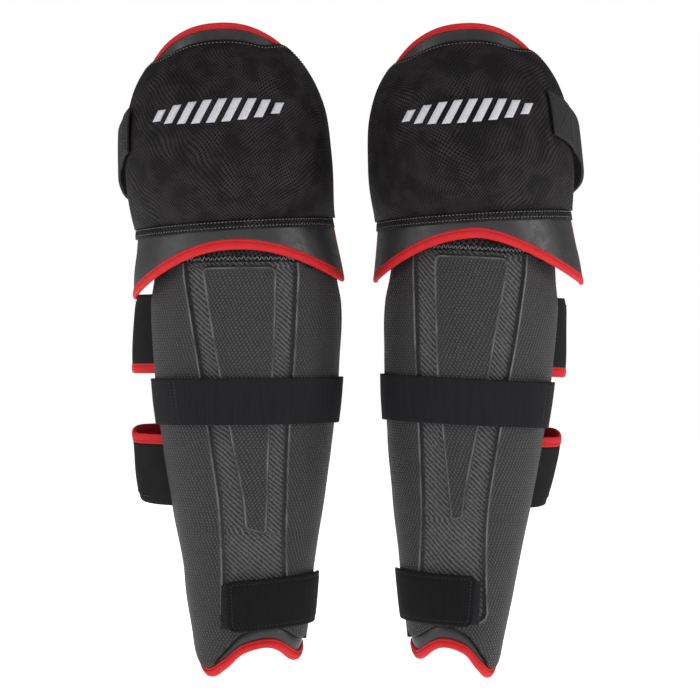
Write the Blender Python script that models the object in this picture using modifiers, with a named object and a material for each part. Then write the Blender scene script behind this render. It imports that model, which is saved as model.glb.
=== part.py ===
"""A pair of padded knee-and-shin guards for stick hockey, one for each leg.

Both guards stand upright as they are worn. +Z runs up the leg and the front of the shin faces -Y.
A guard is drawn in its own frame in millimetres: "across" grows towards the outer side of the leg,
"ahead" grows towards the front, and "height" grows up the leg. Angles run round the leg from the
front: 0 is the ridge of the shin, +90 the outer side, 180 the back and 270 the inner side.
"""

import math

import bmesh
import bpy
from mathutils import Euler, Vector

MM = 0.001

# Pose of each guard in the pair: which side of the middle it stands on, how far out its middle is,
# how far it leans and turns outwards, how far its sheets are spread open, and how far the soft shin
# is twisted outwards at its foot and at its top. The knee part has a pose of its own on the shin.
# Cut holds what differs in the soft parts: how much the foot flares, where the shell and its tongue
# end, how far from the ridge the moulded edges run at rising heights (inner channel, inner and outer
# tongue, outer channel), how far the calf sleeve's outer wings stand out, the arch and hem of the
# knee part, the angles where its dome reaches the edge, where the straps end, and how the ankle
# strap lies.
GUARDS = {
    "right": {
        "side": -1,
        "shin": {"centre": 84.4, "lean": 0.6, "spread": 1.05, "twist": (-4.5, 6.5)},
        "knee": {"shift": 6.7, "lean": 2.9, "turn": 3.0, "spread": 1.035},
        "cut": {
            "flare": 0.11,
            "shell": {"top": 346.0, "tip": 122.0},
            "edges": (
                (65, 25.5, 11.5, 5.4, 20.9),
                (133, 25.2, 11.5, 5.4, 22.8),
                (200, 30.7, 16.9, 12.2, 27.7),
                (275, 40.0, 25.8, 19.6, 33.3),
                (335, 46.0, 31.6, 23.8, 38.6),
            ),
            "wings": ((152, 1.87), (190, 1.90), (215, 1.86), (256, 1.64), (290, 1.59), (322, 1.45)),
            "arch": {"centre": 356.0, "outer": (34.0, 2.0), "inner": (30.0, 2.2)},
            "hem": 372.0,
            "dome_reach": {"outer": 68.0, "inner": 48.0},
            "strap_ends": {"knee": 52.0, "mid": 50.0, "bottom": 21.0},
            "bottom_strap": {"height": 62.7, "tilt": 0.07},
        },
    },
    "left": {
        "side": 1,
        "shin": {"centre": 87.5, "lean": 2.9, "spread": 0.955, "twist": (0.0, 0.0)},
        "knee": {"shift": 2.6, "lean": -6.2, "turn": -2.6, "spread": 1.03},
        "cut": {
            "flare": 0.0,
            "shell": {"top": 355.0, "tip": 133.0},
            "edges": (
                (57, 32.3, 10.9, -0.9, 22.3),
                (90, 32.7, 10.9, -0.9, 20.0),
                (132, 33.2, 10.9, -0.9, 18.7),
                (164, 35.8, 15.2, 1.6, 20.6),
                (251, 44.1, 28.0, 14.6, 31.2),
                (289, 47.3, 31.3, 18.9, 36.0),
                (338, 51.0, 35.0, 25.2, 40.6),
            ),
            "wings": ((152, 1.32), (173, 1.45), (192, 1.55), (215, 1.45), (256, 1.24), (322, 0.98)),
            "arch": {"centre": 366.0, "outer": (42.0, 1.6), "inner": (30.0, 2.2)},
            "hem": 379.0,
            "dome_reach": {"outer": 62.0, "inner": 68.0},
            "strap_ends": {"knee": 43.0, "mid": 64.0, "bottom": 13.0},
            "bottom_strap": {"height": 66.8, "tilt": 0.0},
        },
    },
}
TWIST_HEIGHTS = (150.0, 350.0)
PAIR_ACROSS = -1.6
PAIR_AHEAD = 18.0
PAIR_HEIGHT = -0.5

# Leg sections at rising heights: height, half width, depth in front, depth behind, middle ahead.
SHIN_SECTIONS = (
    (0, 36, 42, 34, 17),
    (20, 37.5, 42, 34, 15),
    (60, 44.5, 45, 37, 11),
    (115, 53, 50, 46, 6),
    (150, 59, 54, 53, 4),
    (207, 66.5, 59, 60, 2),
    (265, 72, 63, 61, 1),
    (312, 73.5, 66, 57, 0),
    (333, 70.5, 67.5, 54, 0),
    (352, 68.5, 69, 52, 0),
)
KNEE_SECTIONS = (
    (318, 87, 79, 50, 0),
    (340, 84.5, 79, 50, 0),
    (364, 81, 79, 50, 0),
    (398, 77, 80, 52, 0),
    (430, 76, 80, 54, 0),
    (464, 74, 79, 55, -1),
    (489, 69.5, 77, 55, -2),
    (505, 66.5, 75, 54, -3),
    (522, 63.5, 73, 53, -4),
    (544, 60, 70, 52, -6),
)

# Shin: outlines and layers. An offset is measured outwards from the shin section.
SIDE_ANGLE = 92.0
SHELL_WALL = 3.0
RELIEF = 3.0
TONGUE_SETBACK = 6.0
CHANNEL_END = 55.0
FOAM_OFFSET = -4.9
FOAM_THICKNESS = 5.6
LINING_OFFSET = -11.3
LINING_THICKNESS = 1.5
LAYER_SIDE_ANGLE = 88.0
EDGE_BINDING_ANGLES = (93.8, 98.0)
EDGE_BINDING_OFFSET = 3.5
EDGE_BINDING_DEPTH = 14.0
TOP_BAND_GAP = 0.8
TOP_BAND_HEIGHT = 4.0
TOP_BAND_PEAK = 367.0
FLARE_HEIGHT = 90.0
ANKLE_EDGE = ((-92, 21), (-64, 14), (-22, 26), (10, 22), (35, 9), (61, 2), (92, 17))
ANKLE_BINDING_WIDTH = 8.0
ANKLE_BINDING_OFFSET = 2.0
ANKLE_BINDING_DEPTH = 8.0
ANKLE_PANEL_ANGLES = (-91.4, 46.0)
ANKLE_PANEL_PEAK = -16.0
ANKLE_PANEL_HEIGHT = 9.0
ANKLE_PANEL_OFFSET = -1.9
GAP = 0.5

# Knee: outlines and layers. An offset is measured outwards from the knee section.
KNEE_SIDE_ANGLE = 96.0
KNEE_TOP = 544.0
KNEE_TOP_DROP = 56.0
KNEE_BINDING_WIDTH = 8.0
KNEE_SIDE_BINDING = 5.5
BACKING_WALL = 2.5
FRAME_GAP = 1.0
KNEE_LINER_BOTTOM = 371.0
KNEE_LINER_OFFSET = -3.6
KNEE_LINER_THICKNESS = 5.0
KNEE_LINING_OFFSET = -9.6
DOME_SIDE_ANGLE = 90.0
DOME_RISE = 24.0
DOME_EDGE = 3.4
DOME_TOP_SETBACK = 14.0
HEM_WIDTH = 8.0
COVER_WALL = 2.0
CUP_WALL = 3.0
LAYER_GAP = 0.9
EMBLEM_HEIGHT = 468.0
EMBLEM_SIZE = (102.0, 20.0)

# Straps: width and thickness of each band, and the height of its middle.
MID_STRAP = {"width": 38.0, "thickness": 2.5, "height": 231.0}
BOTTOM_STRAP = {"width": 38.0, "thickness": 2.5}
BOTTOM_TAB_WIDTH = 41.5
BOTTOM_TAB_THICKNESS = 3.0
STRAP_CLEARANCE = 1.1
STRAP_SPLIT = (-92.0, 265.5)
STRAP_PIVOT_ANGLE = -93.3
STRAP_PIVOT_OFFSET = {"mid_strap_tab": 6.6, "bottom_strap_tab": 8.6}
KNEE_STRAP_WIDTH = 38.0
KNEE_STRAP_THICKNESS = 2.5
KNEE_STRAP_PIVOT_ANGLE = 65.0
LOOP_PATCH = {"reach": (-11.0, 0.6, 7.0), "tall": 36.0, "thickness": 1.5}

# Calf wrap: a stretch sleeve sewn to both side edges, with a notch on the outer side.
WRAP_BOTTOM = ((98.5, 142), (104, 144), (112, 149), (122, 152), (261.5, 152))
WRAP_TOP = 322.0
WRAP_WALL = 3.5
NOTCH_HALF_HEIGHTS = (
    (98.5, 32.0, 37.0),
    (108, 32.0, 35.0),
    (115, 32.0, 31.0),
    (122, 32.0, 28.8),
    (150, 32.0, 28.8),
    (160, 30.3, 28.3),
    (170, 24.6, 24.2),
    (178, 14.3, 14.3),
)
NOTCH_BINDING = 8.5
NOTCH_GAP = 1.3
NOTCH_END = 178.0

# The knee part turns on the fabric at the overlap, about a line across the leg.
KNEE_HINGE_HEIGHT = 345.0

COLOURS = {
    "moulded_shell": ((0.060, 0.058, 0.060), 0.55),
    "foam": ((0.16, 0.16, 0.17), 0.95),
    "lining_fabric": ((0.030, 0.030, 0.032), 0.95),
    "black_binding": ((0.012, 0.012, 0.013), 0.85),
    "red_binding": ((0.78, 0.018, 0.022), 0.60),
    "smooth_panel": ((0.062, 0.062, 0.066), 0.45),
    "mesh_fabric": ((0.020, 0.018, 0.020), 0.90),
    "hard_plastic": ((0.10, 0.10, 0.11), 0.40),
    "elastic": ((0.014, 0.013, 0.016), 0.90),
    "neoprene": ((0.018, 0.017, 0.019), 0.90),
    "badge": ((0.70, 0.70, 0.73), 0.50),
}


def hermite(start, end, slope_in, slope_out, share):
    """A cubic from start to end, with the given slopes over the whole stretch."""
    square, cube = share * share, share * share * share
    return (
        start * (2 * cube - 3 * square + 1)
        + end * (3 * square - 2 * cube)
        + slope_in * (cube - 2 * square + share)
        + slope_out * (cube - square)
    )


def follow(table, at):
    """The values of a table's columns at one place, on smooth curves through its rows."""
    last = len(table) - 1
    at = min(max(at, table[0][0]), table[-1][0])
    row = 0
    while row < last - 1 and at > table[row + 1][0]:
        row += 1
    below, above = table[row], table[row + 1]
    before, after = table[max(row - 1, 0)], table[min(row + 2, last)]
    span = above[0] - below[0]
    share = (at - below[0]) / span
    values = []
    for column in range(1, len(below)):
        slope_in = (above[column] - before[column]) / (above[0] - before[0]) * span
        slope_out = (after[column] - below[column]) / (after[0] - below[0]) * span
        values.append(hermite(below[column], above[column], slope_in, slope_out, share))
    return values


def spread_out(low, high, count):
    """Evenly spaced numbers from low to high, both ends included."""
    return [low + (high - low) * step / (count - 1) for step in range(count)]


def on_leg(sections, angle, height, offset):
    """The point at an angle round the leg, offset outwards from its section at that height."""
    half_width, front, back, middle = follow(sections, height)
    turn = math.radians(angle)
    depth = front if math.cos(turn) > 0 else back
    across = (half_width + offset) * math.sin(turn)
    ahead = middle + (depth + offset) * math.cos(turn)
    return across, ahead, height


def angle_of(across, height):
    """The angle at which the shin section is that far across."""
    return math.degrees(math.asin(across / follow(SHIN_SECTIONS, height)[0]))


def ankle_edge(angle):
    return follow(ANKLE_EDGE, angle)[0]


def shell_bottom(angle):
    """Lower edge of the moulded shell: it arches over the smooth panel from the outer side."""
    end = ANKLE_PANEL_ANGLES[1]
    share = min(max((end - angle) / (end - ANKLE_PANEL_PEAK), 0.0), 1.0)
    arch = math.sin(math.pi / 2 * share) ** 0.6
    return ankle_edge(angle) + ANKLE_BINDING_WIDTH + 2 * GAP + 1.0 + ANKLE_PANEL_HEIGHT * arch


def knee_top(angle):
    return KNEE_TOP - KNEE_TOP_DROP * (1 - math.cos(math.radians(angle))) ** 1.15


def knee_arch(cut, angle):
    drop, power = cut["arch"]["outer" if angle > 0 else "inner"]
    return cut["arch"]["centre"] - drop * abs(math.sin(math.radians(angle))) ** power


def dome_bottom(cut):
    return cut["hem"] + HEM_WIDTH + GAP


def dome_top(cut, angle):
    """Upper edge of the dome: it draws level with the backing's edge towards the sides."""
    reach = cut["dome_reach"]["outer" if angle > 0 else "inner"]
    share = min(max(2 * abs(angle) / reach - 1, 0.0), 1.0)
    ease = share * share * (3 - 2 * share)
    return knee_top(angle) - 1.0 - DOME_TOP_SETBACK * (1 - ease)


def dome_rise(side_share, up_share):
    """How far the padded dome stands out: nothing at its border, most in the middle."""
    return DOME_RISE * (1 - side_share**2) * (1 - abs(2 * up_share - 1) ** 4)


def dome_point(cut, side_share, up_share, depth):
    """A point of the dome, depth under the outer face of its cover."""
    angle = side_share * DOME_SIDE_ANGLE
    bottom = dome_bottom(cut)
    height = bottom + (dome_top(cut, angle) - bottom) * up_share
    offset = DOME_EDGE + dome_rise(side_share, up_share) - depth
    return on_leg(KNEE_SECTIONS, angle, height, offset)


def material(name):
    """The named material, made the first time it is asked for."""
    if name in bpy.data.materials:
        return bpy.data.materials[name]
    colour, roughness = COLOURS[name]
    made = bpy.data.materials.new(name)
    made.use_nodes = True
    shader = made.node_tree.nodes["Principled BSDF"]
    shader.inputs["Base Color"].default_value = (*colour, 1)
    shader.inputs["Roughness"].default_value = roughness
    shader.inputs["Metallic"].default_value = 0.0
    return made


class Guard:
    """One guard: it places points in the pair and parents each part to its moving body."""

    def __init__(self, name, side, shin, knee, cut):
        self.name, self.side, self.shin, self.knee, self.cut = name, side, shin, knee, cut
        self.bodies, self.origins = {}, {}
        base = self.add_body("shin", (0, 0, 0), None)
        across = side * shin["centre"] + PAIR_ACROSS
        base.location = Vector((across, PAIR_AHEAD, PAIR_HEIGHT)) * MM
        base.rotation_euler = Euler((0, math.radians(side * shin["lean"]), 0))
        top = self.add_body("knee", (0, 0, KNEE_HINGE_HEIGHT), "shin")
        top.location.x = side * knee["shift"] * MM
        top.rotation_euler = Euler(
            (0, math.radians(side * knee["lean"]), math.radians(side * knee["turn"]))
        )

    def twist_at(self, height):
        low, high = TWIST_HEIGHTS
        share = min(max((height - low) / (high - low), 0.0), 1.0)
        foot, top = self.shin["twist"]
        return math.radians(foot + (top - foot) * share)

    def local(self, point, body):
        """The point in the frame of the shin, or of the knee part for what hangs on it."""
        across, ahead, height = point
        if body.startswith("knee"):
            return Vector((self.side * self.knee["spread"] * across, -ahead, height)) * MM
        across *= 1 + self.cut["flare"] * max(1 - height / FLARE_HEIGHT, 0.0)
        turn = self.twist_at(height)
        turned = across * math.cos(turn) + ahead * math.sin(turn)
        ahead = ahead * math.cos(turn) - across * math.sin(turn)
        return Vector((self.side * self.shin["spread"] * turned, -ahead, height)) * MM

    def add_body(self, body, pivot, parent):
        """An empty on the axis that the body turns about."""
        empty = bpy.data.objects.new(f"{self.name}_{body}_pivot", None)
        empty.empty_display_size = 0.02
        PARTS.objects.link(empty)
        self.origins[body] = self.local(pivot, body)
        empty.location = self.origins[body]
        self.bodies[body] = empty
        if parent:
            empty.parent = self.bodies[parent]
            if parent == "knee":
                empty.location = self.origins[body] - self.origins[parent]
        return empty

    def add(self, node, body, mesh, slot):
        made = bpy.data.objects.new(f"{self.name}_{node}", mesh)
        mesh.name = made.name
        mesh.materials.append(material(slot))
        PARTS.objects.link(made)
        made.parent = self.bodies[body]
        return made

    def vertex(self, shape, point, body):
        return shape.verts.new(self.local(point, body) - self.origins[body])

    def skin(self, node, body, rows, thickness, slot, closed=False, missing=()):
        """A sheet through rows of points on its outer face, thickened inwards."""
        shape = bmesh.new()
        grid = [[self.vertex(shape, point, body) for point in row] for row in rows]
        columns = len(grid[0])
        for row in range(len(grid) - 1):
            for column in range(columns if closed else columns - 1):
                if (row, column) in missing:
                    continue
                right = (column + 1) % columns
                low, high = grid[row], grid[row + 1]
                shape.faces.new((low[column], low[right], high[right], high[column]))
        self.face_outwards(shape, body)
        bmesh.ops.delete(shape, geom=[v for v in shape.verts if not v.link_faces], context="VERTS")
        mesh = bpy.data.meshes.new(node)
        shape.to_mesh(mesh)
        shape.free()
        mesh.shade_smooth()
        made = self.add(node, body, mesh, slot)
        wall = made.modifiers.new("wall", "SOLIDIFY")
        wall.thickness = thickness * MM
        wall.offset = -1
        wall.use_even_offset = True
        return made

    def face_outwards(self, shape, body):
        """Turns the sheet's faces away from the middle of the leg."""
        shape.normal_update()
        outward = 0.0
        for face in shape.faces:
            centre = face.calc_center_median() + self.origins[body]
            outward += face.normal.dot(Vector((centre.x, centre.y, 0)).normalized())
        if outward < 0:
            bmesh.ops.reverse_faces(shape, faces=shape.faces)

    def block(self, node, body, outer, inner, slot):
        """A closed body between an outer and an inner grid of points."""
        shape = bmesh.new()
        grids = []
        for rows in (outer, inner):
            grids.append([[self.vertex(shape, point, body) for point in row] for row in rows])
        high, wide = len(outer) - 1, len(outer[0]) - 1
        for grid in grids:
            for row in range(high):
                for column in range(wide):
                    shape.faces.new(
                        (
                            grid[row][column],
                            grid[row][column + 1],
                            grid[row + 1][column + 1],
                            grid[row + 1][column],
                        )
                    )
        border = [(0, column) for column in range(wide)]
        border += [(row, wide) for row in range(high)]
        border += [(high, column) for column in range(wide, 0, -1)]
        border += [(row, 0) for row in range(high, 0, -1)]
        outside, inside = grids
        for here, there in zip(border, border[1:] + border[:1]):
            shape.faces.new(
                (
                    outside[here[0]][here[1]],
                    outside[there[0]][there[1]],
                    inside[there[0]][there[1]],
                    inside[here[0]][here[1]],
                )
            )
        bmesh.ops.recalc_face_normals(shape, faces=shape.faces)
        mesh = bpy.data.meshes.new(node)
        shape.to_mesh(mesh)
        shape.free()
        mesh.shade_smooth()
        return self.add(node, body, mesh, slot)

    def band(self, node, body, sections, angles, middle, width, inner_offset, thickness, slot):
        """A flat strap round the leg. middle and inner_offset are functions of the angle."""
        rows = []
        for edge in (-0.5, 0.5):
            row = []
            for angle in angles:
                height = middle(angle) + edge * width
                row.append(on_leg(sections, angle, height, inner_offset(angle) + thickness))
            rows.append(row)
        return self.skin(node, body, rows, thickness, slot)


def shell_lines(cut, height):
    """Angle and relief of each line across the shell, from its inner to its outer side."""
    shell = cut["shell"]
    inner_channel, inner_tongue, outer_tongue, outer_channel = follow(cut["edges"], height)
    tongue_top = shell["top"] - TONGUE_SETBACK
    in_channel = 0.0 if height > CHANNEL_END else RELIEF
    middle = RELIEF if height <= CHANNEL_END or shell["tip"] < height <= tongue_top else 0.0
    knots = (
        (-inner_channel - 1.0, RELIEF),
        (-inner_channel + 1.5, in_channel),
        (-inner_tongue - 1.5, in_channel),
        (-inner_tongue + 1.0, middle),
        ((outer_tongue - inner_tongue) / 2, middle),
        (outer_tongue - 1.0, middle),
        (outer_tongue + 1.5, in_channel),
        (outer_channel - 1.5, in_channel),
        (outer_channel + 1.0, RELIEF),
    )
    lines = [(angle_of(across, height), rise) for across, rise in knots]
    first, last = lines[0][0], lines[-1][0]
    inner = [(share * first - (1 - share) * SIDE_ANGLE, RELIEF) for share in (0, 0.33, 0.67)]
    outer = [(last + (SIDE_ANGLE - last) * share, RELIEF) for share in (0.33, 0.67, 1.0)]
    return inner + lines + outer


def add_shin_shell(guard):
    """The moulded outer shell, with a raised tongue between two recessed channels."""
    top, tip = guard.cut["shell"]["top"], guard.cut["shell"]["tip"]
    heights = (CHANNEL_END - 1, CHANNEL_END + 3, 88, tip - 3, tip + 1, 165, 210, 255, 300)
    heights += (top - TONGUE_SETBACK, top - TONGUE_SETBACK + 3, top)
    rows = []
    for height in (0, *heights):
        row = []
        for angle, rise in shell_lines(guard.cut, max(height, CHANNEL_END - 1)):
            place = height if height else shell_bottom(angle)
            row.append(on_leg(SHIN_SECTIONS, angle, place, rise))
        rows.append(row)
    guard.skin("shin_shell", "shin", rows, SHELL_WALL, "moulded_shell")


def add_shin_layers(guard):
    """The foam behind the shell and the soft lining that touches the leg."""
    layers = (
        ("shin_foam", FOAM_OFFSET, FOAM_THICKNESS, "foam"),
        ("shin_lining", LINING_OFFSET, LINING_THICKNESS, "lining_fabric"),
    )
    for node, offset, thickness, slot in layers:
        rows = []
        for share in spread_out(0, 1, 7):
            row = []
            for angle in spread_out(-LAYER_SIDE_ANGLE, LAYER_SIDE_ANGLE, 13):
                bottom = ankle_edge(angle) + ANKLE_BINDING_WIDTH + GAP + 1.0
                height = bottom + (guard.cut["shell"]["top"] - bottom) * share
                row.append(on_leg(SHIN_SECTIONS, angle, height, offset))
            rows.append(row)
        guard.skin(node, "shin", rows, thickness, slot)


def add_shin_edges(guard):
    """The black tape down both side edges and the mesh band along the top."""
    top = guard.cut["shell"]["top"]
    for node, sign in (("outer_edge_binding", 1), ("inner_edge_binding", -1)):
        bottom = ankle_edge(sign * SIDE_ANGLE) + ANKLE_BINDING_WIDTH + GAP
        rows = []
        for height in spread_out(bottom, top, 9):
            angles = [sign * angle for angle in EDGE_BINDING_ANGLES]
            row = [on_leg(SHIN_SECTIONS, angle, height, EDGE_BINDING_OFFSET) for angle in angles]
            rows.append(row)
        guard.skin(node, "shin", rows, EDGE_BINDING_DEPTH, "black_binding")
    rows = [[], []]
    low, side = top + TOP_BAND_GAP, top + TOP_BAND_GAP + TOP_BAND_HEIGHT
    for angle in spread_out(-SIDE_ANGLE, SIDE_ANGLE, 13):
        rise = (TOP_BAND_PEAK - side) * max(math.cos(math.radians(angle)), 0.0)
        for row, height in zip(rows, (low, side + rise)):
            row.append(on_leg(SHIN_SECTIONS, angle, height, 1.0))
    guard.skin("shin_top_band", "shin", rows, 11.0, "mesh_fabric")


def add_ankle(guard):
    """The smooth panel above the instep and the red tape round the bottom edge."""
    rows = [[], []]
    for angle in spread_out(*ANKLE_PANEL_ANGLES, 11):
        low = ankle_edge(angle) + ANKLE_BINDING_WIDTH + 2 * GAP
        high = shell_bottom(angle) - 3 * GAP
        for row, height in zip(rows, (low, high)):
            row.append(on_leg(SHIN_SECTIONS, angle, height, ANKLE_PANEL_OFFSET))
    guard.skin("ankle_panel", "shin", rows, 2.5, "smooth_panel")
    rows = [[], []]
    for angle in spread_out(-EDGE_BINDING_ANGLES[1], EDGE_BINDING_ANGLES[1], 19):
        low = ankle_edge(angle)
        for row, height in zip(rows, (low, low + ANKLE_BINDING_WIDTH)):
            row.append(on_leg(SHIN_SECTIONS, angle, height, ANKLE_BINDING_OFFSET))
    guard.skin("ankle_binding", "shin", rows, ANKLE_BINDING_DEPTH, "red_binding")


def add_link_tabs(guard):
    """Two elastic tabs between the shell and the knee part, one on each side of the leg."""
    top = guard.cut["shell"]["top"]
    for node, sign in (("outer_link_tab", 1), ("inner_link_tab", -1)):
        rows = []
        for height in (top - 9.0, top - 5.0, top - 1.0):
            angles = [sign * angle for angle in (50.0, 58.0, 66.0)]
            rows.append([on_leg(SHIN_SECTIONS, angle, height, 4.3) for angle in angles])
        guard.skin(node, "shin", rows, 1.1, "elastic")


def wrap_offset(cut, angle, height):
    """The sleeve stands away from the leg on the outer side and lies close elsewhere."""
    shape = (
        (98.5, -3, 0),
        (103, 0, 10),
        (108, 0, 17),
        (120, 0, 20),
        (135, 3, 14),
        (150, 6, 3),
        (160, 5, 0),
        (172, 1, 0),
        (190, 0, 0),
        (252, 0, 0),
        (261.5, -3, 0),
    )
    offset, wing = follow(shape, angle)
    return offset + wing * follow(cut["wings"], height)[0]


def notch_reach(angle):
    """How far the notch in the sleeve reaches above and below its middle: it closes at the back."""
    return follow(NOTCH_HALF_HEIGHTS, min(angle, NOTCH_END))


def add_calf_wrap(guard):
    """The stretch sleeve behind the calf, and the red tape round its notch."""
    high = WRAP_TOP
    middle = MID_STRAP["height"]
    angles = [98.5, 103, 108, 115, 122, 135, 150, 160, 170, NOTCH_END]
    notch_columns = len(angles) - 1
    angles += [192, 206, 220, 235, 250, 261.5]
    rows = [[] for _ in range(6)]
    for angle in angles:
        above, below = notch_reach(angle)
        low = follow(WRAP_BOTTOM, angle)[0]
        cuts = (low, (low + middle - below) / 2, middle - below, middle + above)
        cuts += ((high + middle + above) / 2, high)
        for row, height in zip(rows, cuts):
            offset = wrap_offset(guard.cut, angle, height)
            row.append(on_leg(SHIN_SECTIONS, angle, height, offset))
    missing = {(2, column) for column in range(notch_columns)}
    guard.skin("calf_wrap", "shin", rows, WRAP_WALL, "neoprene", missing=missing)

    upper = [(angle, 1) for angle in angles[: notch_columns + 1]]
    outline = upper + [(NOTCH_END, 0.33), (NOTCH_END, -0.33)]
    outline += [(angle, -1) for angle, _ in reversed(upper)]
    rows = [[], []]
    for angle, side in outline:
        reach = notch_reach(angle)[0 if side > 0 else 1]
        for row, inset in zip(rows, (NOTCH_BINDING, NOTCH_GAP)):
            place = min(angle, NOTCH_END - inset * 1.1)
            height = middle + side * max(reach - inset, 2.0)
            offset = wrap_offset(guard.cut, place, height) + 0.8
            row.append(on_leg(SHIN_SECTIONS, place, height, offset))
    guard.skin("notch_binding", "shin", rows, WRAP_WALL + 1.6, "red_binding")


def strap_height(height, tilt):
    """The middle of a strap as a function of the angle: it may slope across the leg."""
    half_width = follow(SHIN_SECTIONS, height)[0]
    return lambda angle: height - tilt * half_width * math.sin(math.radians(angle))


def add_mid_strap(guard):
    """The elastic round the calf, and its free front end that hooks on to it."""
    rest = RELIEF + STRAP_CLEARANCE
    thickness = MID_STRAP["thickness"]
    end = guard.cut["strap_ends"]["mid"]
    lift = ((end - 12, rest), (88, rest), (96, rest + 0.7), (110, 4.0), (140, 4.0), (150, 5.5))
    lift += ((160, 7.5), (172, 5.5), (186, 2.2), (240, 2.0), (256, 4.0), (265.5, rest + 0.8))
    angles = [end - 12, *spread_out(end, 86, 3), 93, 100, 110, 122, 134, 146, 157, 168, 180]
    angles += [194, 208, 222, 236, 248, 257, STRAP_SPLIT[1]]
    middle = strap_height(MID_STRAP["height"], 0.0)
    guard.band(
        "mid_strap",
        "shin",
        SHIN_SECTIONS,
        angles,
        middle,
        MID_STRAP["width"],
        lambda angle: follow(lift, angle)[0],
        thickness,
        "elastic",
    )
    over = rest + thickness + STRAP_CLEARANCE
    lift_tab = ((-92, rest + 0.8), (-80, rest), (end - 34, rest), (end - 16, over), (end, over))
    angles = [STRAP_SPLIT[0], -84, -72, -58, -44, *spread_out(-30, end - 34, 5)]
    angles += [end - 24, end - 16, end - 8, end]
    guard.band(
        "mid_strap_tab",
        "mid_strap_tab",
        SHIN_SECTIONS,
        angles,
        middle,
        MID_STRAP["width"],
        lambda angle: follow(lift_tab, angle)[0],
        thickness,
        "elastic",
    )


def add_bottom_strap(guard):
    """The ankle elastic, its padded front tab and the loop patch that the tab hooks on to."""
    rest = RELIEF + STRAP_CLEARANCE
    lift = ((98.5, -2), (112, 1.0), (180, 1.0), (244, 2.0), (256, 4.0), (265.5, rest + 0.8))
    end = guard.cut["strap_ends"]["bottom"]
    middle = strap_height(**guard.cut["bottom_strap"])
    guard.band(
        "bottom_strap",
        "shin",
        SHIN_SECTIONS,
        [98.5, 106, 118, 132, 148, 164, 180, 196, 212, 228, 242, 254, STRAP_SPLIT[1]],
        middle,
        BOTTOM_STRAP["width"],
        lambda angle: follow(lift, angle)[0],
        BOTTOM_STRAP["thickness"],
        "elastic",
    )
    over = rest + LOOP_PATCH["thickness"] + STRAP_CLEARANCE + 0.6
    lift_tab = ((-92, rest + 0.8), (-78, rest + 0.2), (end - 29, rest + 0.2), (end - 15, over))
    lift_tab += ((end, over),)
    guard.band(
        "bottom_strap_tab",
        "bottom_strap_tab",
        SHIN_SECTIONS,
        [STRAP_SPLIT[0] + 1.0, -82, -68, -54, -40, *spread_out(end - 48, end, 7)],
        middle,
        BOTTOM_TAB_WIDTH,
        lambda angle: follow(lift_tab, angle)[0],
        BOTTOM_TAB_THICKNESS,
        "elastic",
    )
    add_loop_patch(guard, rest, end)


def add_loop_patch(guard, rest, tab_end):
    """A plate of loop tape in two flat strips: the tab covers one and leaves the other free."""
    faces = []
    for lift in (1.5, 0.5):
        rows = []
        for edge in (-0.5, 0.5):
            row = []
            for reach in LOOP_PATCH["reach"]:
                offset = rest + lift * LOOP_PATCH["thickness"]
                middle = guard.cut["bottom_strap"]["height"] - 1.5
                across, ahead, height = on_leg(SHIN_SECTIONS, tab_end + reach, middle, offset)
                row.append((across, ahead, height + edge * LOOP_PATCH["tall"]))
            rows.append(row)
        faces.append(rows)
    guard.block("bottom_loop_patch", "shin", faces[0], faces[1], "elastic")


def knee_frame_point(cut, side_share, up_share, inset, offset):
    """A point of the backing's outline, or of the line that runs inset inside it."""
    angle = side_share * (KNEE_SIDE_ANGLE - (KNEE_SIDE_BINDING if inset else 0.0))
    low = knee_arch(cut, angle) + inset
    high = knee_top(angle) - inset
    return on_leg(KNEE_SECTIONS, angle, low + (high - low) * up_share, offset)


def add_knee_backing(guard):
    """The smooth backing sheet that carries the knee padding, and the red tape round it."""
    rows = []
    for up_share in spread_out(0, 1, 9):
        row = []
        for side_share in spread_out(-1, 1, 15):
            angle = side_share * (KNEE_SIDE_ANGLE - KNEE_SIDE_BINDING - FRAME_GAP)
            low = knee_arch(guard.cut, angle) + KNEE_BINDING_WIDTH + FRAME_GAP
            high = knee_top(angle) - KNEE_BINDING_WIDTH - FRAME_GAP
            row.append(on_leg(KNEE_SECTIONS, angle, low + (high - low) * up_share, 0))
        rows.append(row)
    guard.skin("knee_backing", "knee", rows, BACKING_WALL, "smooth_panel")

    across, up = spread_out(-1, 1, 15), spread_out(0, 1, 9)
    outline = [(share, 0) for share in across] + [(1, share) for share in up[1:-1]]
    outline += [(share, 1) for share in reversed(across)] + [(-1, share) for share in up[-2:0:-1]]
    rows = []
    for inset in (0.0, KNEE_BINDING_WIDTH):
        rows.append([knee_frame_point(guard.cut, side, rise, inset, 1.0) for side, rise in outline])
    guard.skin("knee_binding", "knee", rows, BACKING_WALL + 1.6, "red_binding", closed=True)


def add_knee_liner(guard):
    """The foam and the soft lining inside the knee part."""
    layers = (
        ("knee_foam_liner", KNEE_LINER_OFFSET, KNEE_LINER_THICKNESS, "foam"),
        ("knee_lining", KNEE_LINING_OFFSET, LINING_THICKNESS, "lining_fabric"),
    )
    for node, offset, thickness, slot in layers:
        rows = []
        for share in spread_out(0, 1, 7):
            row = []
            for angle in spread_out(-86, 86, 13):
                high = knee_top(angle) - 10.0
                height = KNEE_LINER_BOTTOM + (high - KNEE_LINER_BOTTOM) * share
                row.append(on_leg(KNEE_SECTIONS, angle, height, offset))
            rows.append(row)
        guard.skin(node, "knee", rows, thickness, slot)


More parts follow.
